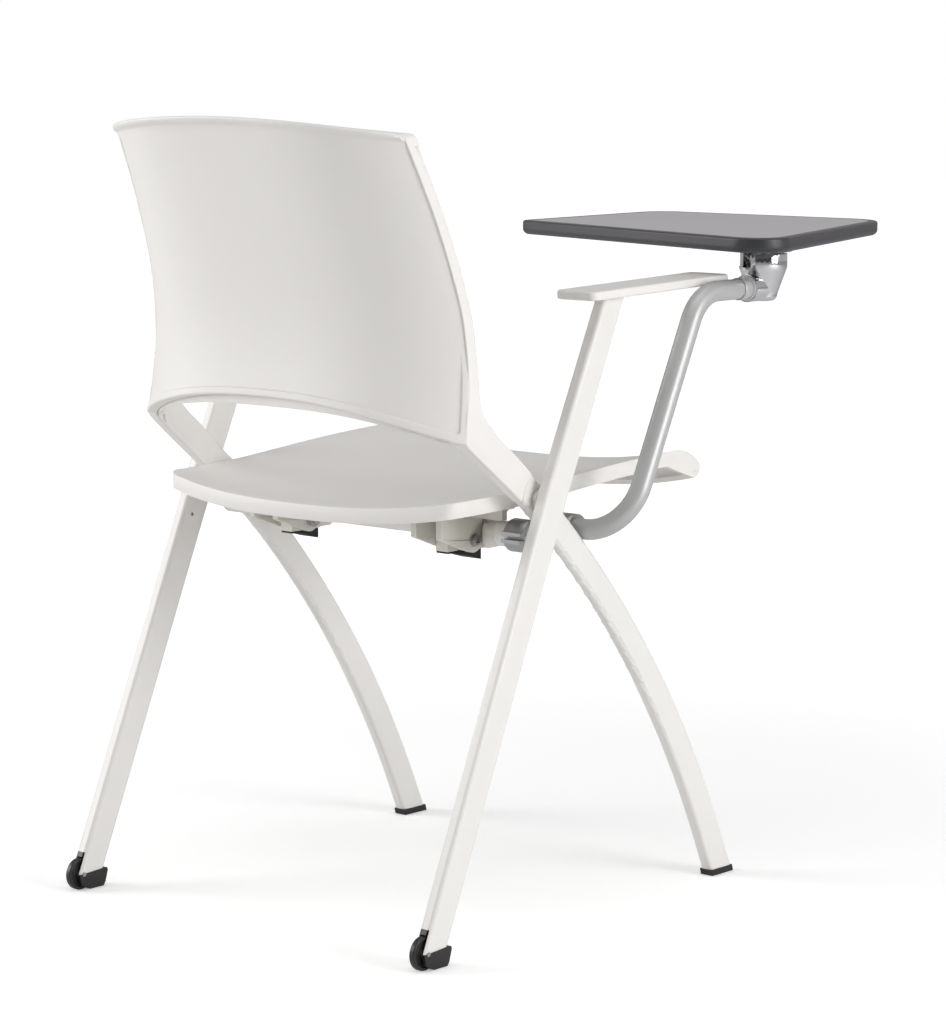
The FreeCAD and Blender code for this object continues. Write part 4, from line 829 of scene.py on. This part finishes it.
    def side_arm(self, mirror: float) -> MeshDraft:
        """Side wall and arm of one side as one smooth form.

        Args:
            mirror: +1 for the left side, -1 for the right.

        Returns:
            The draft of that side.
        """
        stations = self.side_sections()
        lines = []
        for which in (0, 1):
            for axis in range(3):
                line = tuple((float(k), station[which][axis]) for k, station in enumerate(stations))
                lines.append(SmoothLine(line))
        thick = SmoothLine(tuple((float(k), station[2]) for k, station in enumerate(stations)))
        draft = MeshDraft()
        rings = []
        for k in range((len(stations) - 1) * self.wall_steps + 1):
            t = k / self.wall_steps
            rear = Vector([line.at(t) for line in lines[:3]])
            front = Vector([line.at(t) for line in lines[3:]])
            ring = self.section_ring(rear, front, thick.at(t))
            rings.append(draft.row([(p.x * mirror, p.y, p.z) for p in ring]))
        draft.skin(rings, closed=True)
        draft.cap(rings[0])
        draft.cap(rings[-1])
        return draft

    def front_shell(self) -> MeshDraft:
        """Thin shell ahead of the rear one, seen below its arch."""
        draft = MeshDraft()
        shares = self.share_columns(self.front_from_side, self.front_half_width, self.front_middle)
        columns = [s * self.front_width for s in shares]
        outer, inner = [], []
        for k in range(self.front_rows + 1):
            row = [(s, mix(self.front_low(s), self.high(s) - self.front_top, k / self.front_rows))
                   for s in columns]
            outer.append([self.front_point(s, z, self.shell_gap) for s, z in row])
            inner.append([self.front_point(s, z, self.shell_gap + self.front_skin) for s, z in row])
        out_rows = [draft.row(row) for row in outer]
        in_rows = [draft.row(row) for row in inner]
        draft.skin(out_rows)
        draft.skin(in_rows)
        a, b = self.border(outer), self.border(inner)
        outs = [self.outward(a, i, (a[i] - b[i]).normalized()) for i in range(len(a))]
        ring = draft.extend(self.border(out_rows), rounded_edge(a, b, outs, self.front_round))
        draft.bridge(ring, self.border(in_rows), closed=True)
        return draft

    def front_low(self, s: float) -> float:
        """Height of the front shell's lower edge."""
        turn = min(max((abs(s) - self.dip_start) / self.dip_span, 0.0), 1.0)
        arch = self.front_arch - self.front_drop * abs(s) ** self.front_power
        return arch - self.front_dip * turn**self.dip_power

    def front_point(self, s: float, z: float, ahead: float) -> Vector:
        """Point of the front shell, drawn forward into the arm below its corner."""
        point = self.surface(s, z, ahead * (1.0 + self.corner_gap * s**4))
        if z < self.arm_top:
            point.y = min(point.y, self.arm_rear.at(z) - (ahead - self.shell_gap) - self.arm_cover)
        return point

    def build(self, wardrobe: Wardrobe) -> None:
        """Make the back's pieces and dress them."""
        draft = self.rear_shell()
        for side in (1.0, -1.0):
            draft.include(self.side_arm(side))
        shell = draft.build("back_rear_form")
        wardrobe.dress_piece(shell, "shell_plastic", "frame", "back_rear_shell")
        front = self.front_shell().build("back_front_form")
        wardrobe.dress_piece(front, "shell_plastic", "frame", "back_front_shell")


@dataclass
class FixedNodes:
    """The nodes that keep their own solid form and get a finish and softened edges."""

    soften: float = 0.5
    soften_segments: int = 2
    soften_angle: float = 35.0
    replaced: tuple[str, ...] = ("back_rear_shell", "back_front_shell")

    def build(self, wardrobe: Wardrobe) -> None:
        """Dress every fixed node by its slot."""
        for part in frame["record"]["subparts"]:
            if part["node"] in self.replaced:
                continue
            wardrobe.dress_node(part["node"], part["material_slot"])
            self.soften_edges(frame["nodes"][part["node"]])

    def soften_edges(self, piece: bpy.types.Object) -> None:
        """Weld the facets together and round the sharp edges a little."""
        weld = piece.modifiers.new("Weld", "WELD")
        weld.merge_threshold = WELD_GAP
        bevel = piece.modifiers.new("Edges", "BEVEL")
        bevel.width = self.soften * MM
        bevel.segments = self.soften_segments
        bevel.limit_method = "ANGLE"
        bevel.angle_limit = math.radians(self.soften_angle)
        bevel.harden_normals = True


# Studio
@dataclass(frozen=True)
class Lamp:
    """One square soft lamp: its place and side in metres and its power in watts."""

    name: str
    place: Point
    size: float
    power: float


@dataclass
class Studio:
    """Pale floor, white surround, three soft lamps and the camera."""

    camera_place: Point = (-2.4857, 2.7651, 0.9339)
    camera_aim: Point = (0.648, -0.7487, -0.1394)
    lens: float = 121.88
    sensor: float = 36.0
    clip_end: float = 100.0

    # Surround: side and overhead light, and the room that gloss mirrors, with its darker end
    surround: float = 0.527
    zenith: float = 0.302
    zenith_span: tuple[float, float] = (0.05, 0.85)
    mirrored: float = 0.50
    mirrored_dark: float = 0.06
    dark_side: Point = (-0.62, 0.75, 0.23)
    dark_span: tuple[float, float] = (0.45, 0.85)

    # Floor: its sheet in metres, its finish, and its glow near the object and far from it
    floor_size: float = 30.0
    floor_level: float = -0.0005
    floor_colour: Point = (0.86, 0.86, 0.86)
    floor_roughness: float = 0.7
    floor_specular: float = 0.2
    glow_near: float = 0.34
    glow_far: float = 0.75
    fade_near: float = 0.7
    fade_far: float = 2.6

    lamp_aim: Point = (0.0, 0.0, 0.5)
    lamps: tuple[Lamp, ...] = (
        Lamp("Overhead", (-0.5, 0.4, 3.2), 2.4, 20.9),
        Lamp("Right side", (-3.6, -0.4, 1.3), 1.8, 71.0),
        Lamp("Behind left", (3.0, 2.2, 1.5), 2.0, 82.0),
    )

    def camera(self) -> None:
        """Put the camera where the photograph was taken from."""
        data = bpy.data.cameras.new("Photograph view")
        data.sensor_width = self.sensor
        data.lens = self.lens
        data.clip_end = self.clip_end
        camera = bpy.data.objects.new("Photograph view", data)
        camera.location = self.camera_place
        camera.rotation_mode = "QUATERNION"
        camera.rotation_quaternion = Vector(self.camera_aim).to_track_quat("-Z", "Y")
        bpy.context.scene.collection.objects.link(camera)
        bpy.context.scene.camera = camera

    @staticmethod
    def seen_directly(tree: bpy.types.NodeTree) -> bpy.types.NodeSocket:
        """1 where a ray comes from the camera or through glass."""
        path = tree.nodes.new("ShaderNodeLightPath")
        total = NodeShop.maths(tree, "ADD", path.outputs["Is Camera Ray"],
                               path.outputs["Is Transmission Ray"])
        return NodeShop.maths(tree, "MINIMUM", total, 1.0)

    def world(self) -> None:
        """White surround for the camera, soft light for the object and a darker room for its gloss."""
        world = bpy.data.worlds.new("Studio")
        world.use_nodes = True
        tree = world.node_tree
        shade = tree.nodes["Background"]
        shade.inputs["Color"].default_value = WHITE
        seen = self.seen_directly(tree)
        direction = tree.nodes.new("ShaderNodeTexCoord").outputs["Generated"]
        parts = tree.nodes.new("ShaderNodeSeparateXYZ")
        tree.links.new(direction, parts.inputs[0])
        soft = self.blend_by(tree, parts.outputs["Z"], self.zenith_span, (self.surround, self.zenith))
        dark_end = tree.nodes.new("ShaderNodeVectorMath")
        dark_end.operation = "DOT_PRODUCT"
        tree.links.new(direction, dark_end.inputs[0])
        dark_end.inputs[1].default_value = self.dark_side
        room = self.blend_by(tree, dark_end.outputs["Value"], self.dark_span,
                             (self.mirrored, self.mirrored_dark))
        glossy = tree.nodes.new("ShaderNodeLightPath").outputs["Is Glossy Ray"]
        soft = self.choose(tree, glossy, soft, room)
        tree.links.new(self.choose(tree, seen, soft, 1.0), shade.inputs["Strength"])
        bpy.context.scene.world = world

    @staticmethod
    def choose(tree: bpy.types.NodeTree, share: bpy.types.NodeSocket, low: object,
               high: object) -> bpy.types.NodeSocket:
        """Value between two sockets or numbers by a share."""
        node = tree.nodes.new("ShaderNodeMix")
        tree.links.new(share, node.inputs["Factor"])
        for socket, value in ((node.inputs["A"], low), (node.inputs["B"], high)):
            if isinstance(value, (int, float)):
                socket.default_value = value
            else:
                tree.links.new(value, socket)
        return node.outputs["Result"]

    def floor(self) -> None:
        """Pale floor that keeps the object's shadow."""
        draft = MeshDraft()
        half, level = self.floor_size / 2 / MM, self.floor_level / MM
        corners = ((-half, -half), (half, -half), (half, half), (-half, half))
        draft.cap(draft.row([(x, y, level) for x, y in corners]))
        floor = draft.build("studio_floor")
        made = bpy.data.materials.new("Pale studio floor")
        made.use_nodes = True
        tree = made.node_tree
        shader = tree.nodes["Principled BSDF"]
        shader.inputs["Base Color"].default_value = (*self.floor_colour, 1.0)
        shader.inputs["Roughness"].default_value = self.floor_roughness
        shader.inputs["Specular IOR Level"].default_value = self.floor_specular
        shader.inputs["Emission Color"].default_value = WHITE
        glow = NodeShop.maths(tree, "MULTIPLY", self.seen_directly(tree), self.floor_fade(tree))
        tree.links.new(glow, shader.inputs["Emission Strength"])
        floor.data.materials.append(made)

    def floor_fade(self, tree: bpy.types.NodeTree) -> bpy.types.NodeSocket:
        """Glow of the floor: low round the object so that its shadow shows, white far away."""
        place = tree.nodes.new("ShaderNodeNewGeometry").outputs["Position"]
        far = tree.nodes.new("ShaderNodeVectorMath")
        far.operation = "LENGTH"
        tree.links.new(place, far.inputs[0])
        return self.blend_by(tree, far.outputs["Value"], (self.fade_near, self.fade_far),
                             (self.glow_near, self.glow_far))

    @staticmethod
    def blend_by(tree: bpy.types.NodeTree, value: bpy.types.NodeSocket, span: tuple[float, float],
                 levels: tuple[float, float]) -> bpy.types.NodeSocket:
        """Level that changes smoothly while a value crosses a span.

        Args:
            tree: the node tree to add to.
            value: the socket that drives the change.
            span: where the change starts and ends.
            levels: the level before and after.

        Returns:
            The socket that carries the level.
        """
        node = tree.nodes.new("ShaderNodeMapRange")
        node.interpolation_type = "SMOOTHSTEP"
        node.inputs["From Min"].default_value, node.inputs["From Max"].default_value = span
        node.inputs["To Min"].default_value, node.inputs["To Max"].default_value = levels
        tree.links.new(value, node.inputs["Value"])
        return node.outputs["Result"]

    def hang(self, lamp: Lamp) -> None:
        """Put one lamp in the scene, turned to the object's middle."""
        data = bpy.data.lights.new(lamp.name, "AREA")
        data.energy = lamp.power
        data.size = lamp.size
        hung = bpy.data.objects.new(lamp.name, data)
        hung.location = lamp.place
        hung.rotation_mode = "QUATERNION"
        hung.rotation_quaternion = (Vector(self.lamp_aim) - Vector(lamp.place)).to_track_quat("-Z", "Y")
        bpy.context.scene.collection.objects.link(hung)

    def build(self) -> None:
        """Set up the camera, the surround, the floor and the lamps."""
        self.camera()
        self.world()
        self.floor()
        for lamp in self.lamps:
            self.hang(lamp)
        bpy.context.scene.view_settings.view_transform = "Standard"


def main() -> None:
    """Build every sub-assembly in order."""
    Studio().build()
    log.info("studio ready")
    wardrobe = Wardrobe()
    FixedNodes().build(wardrobe)
    BackAssembly().build(wardrobe)


if __name__ == "__main__":
    main()
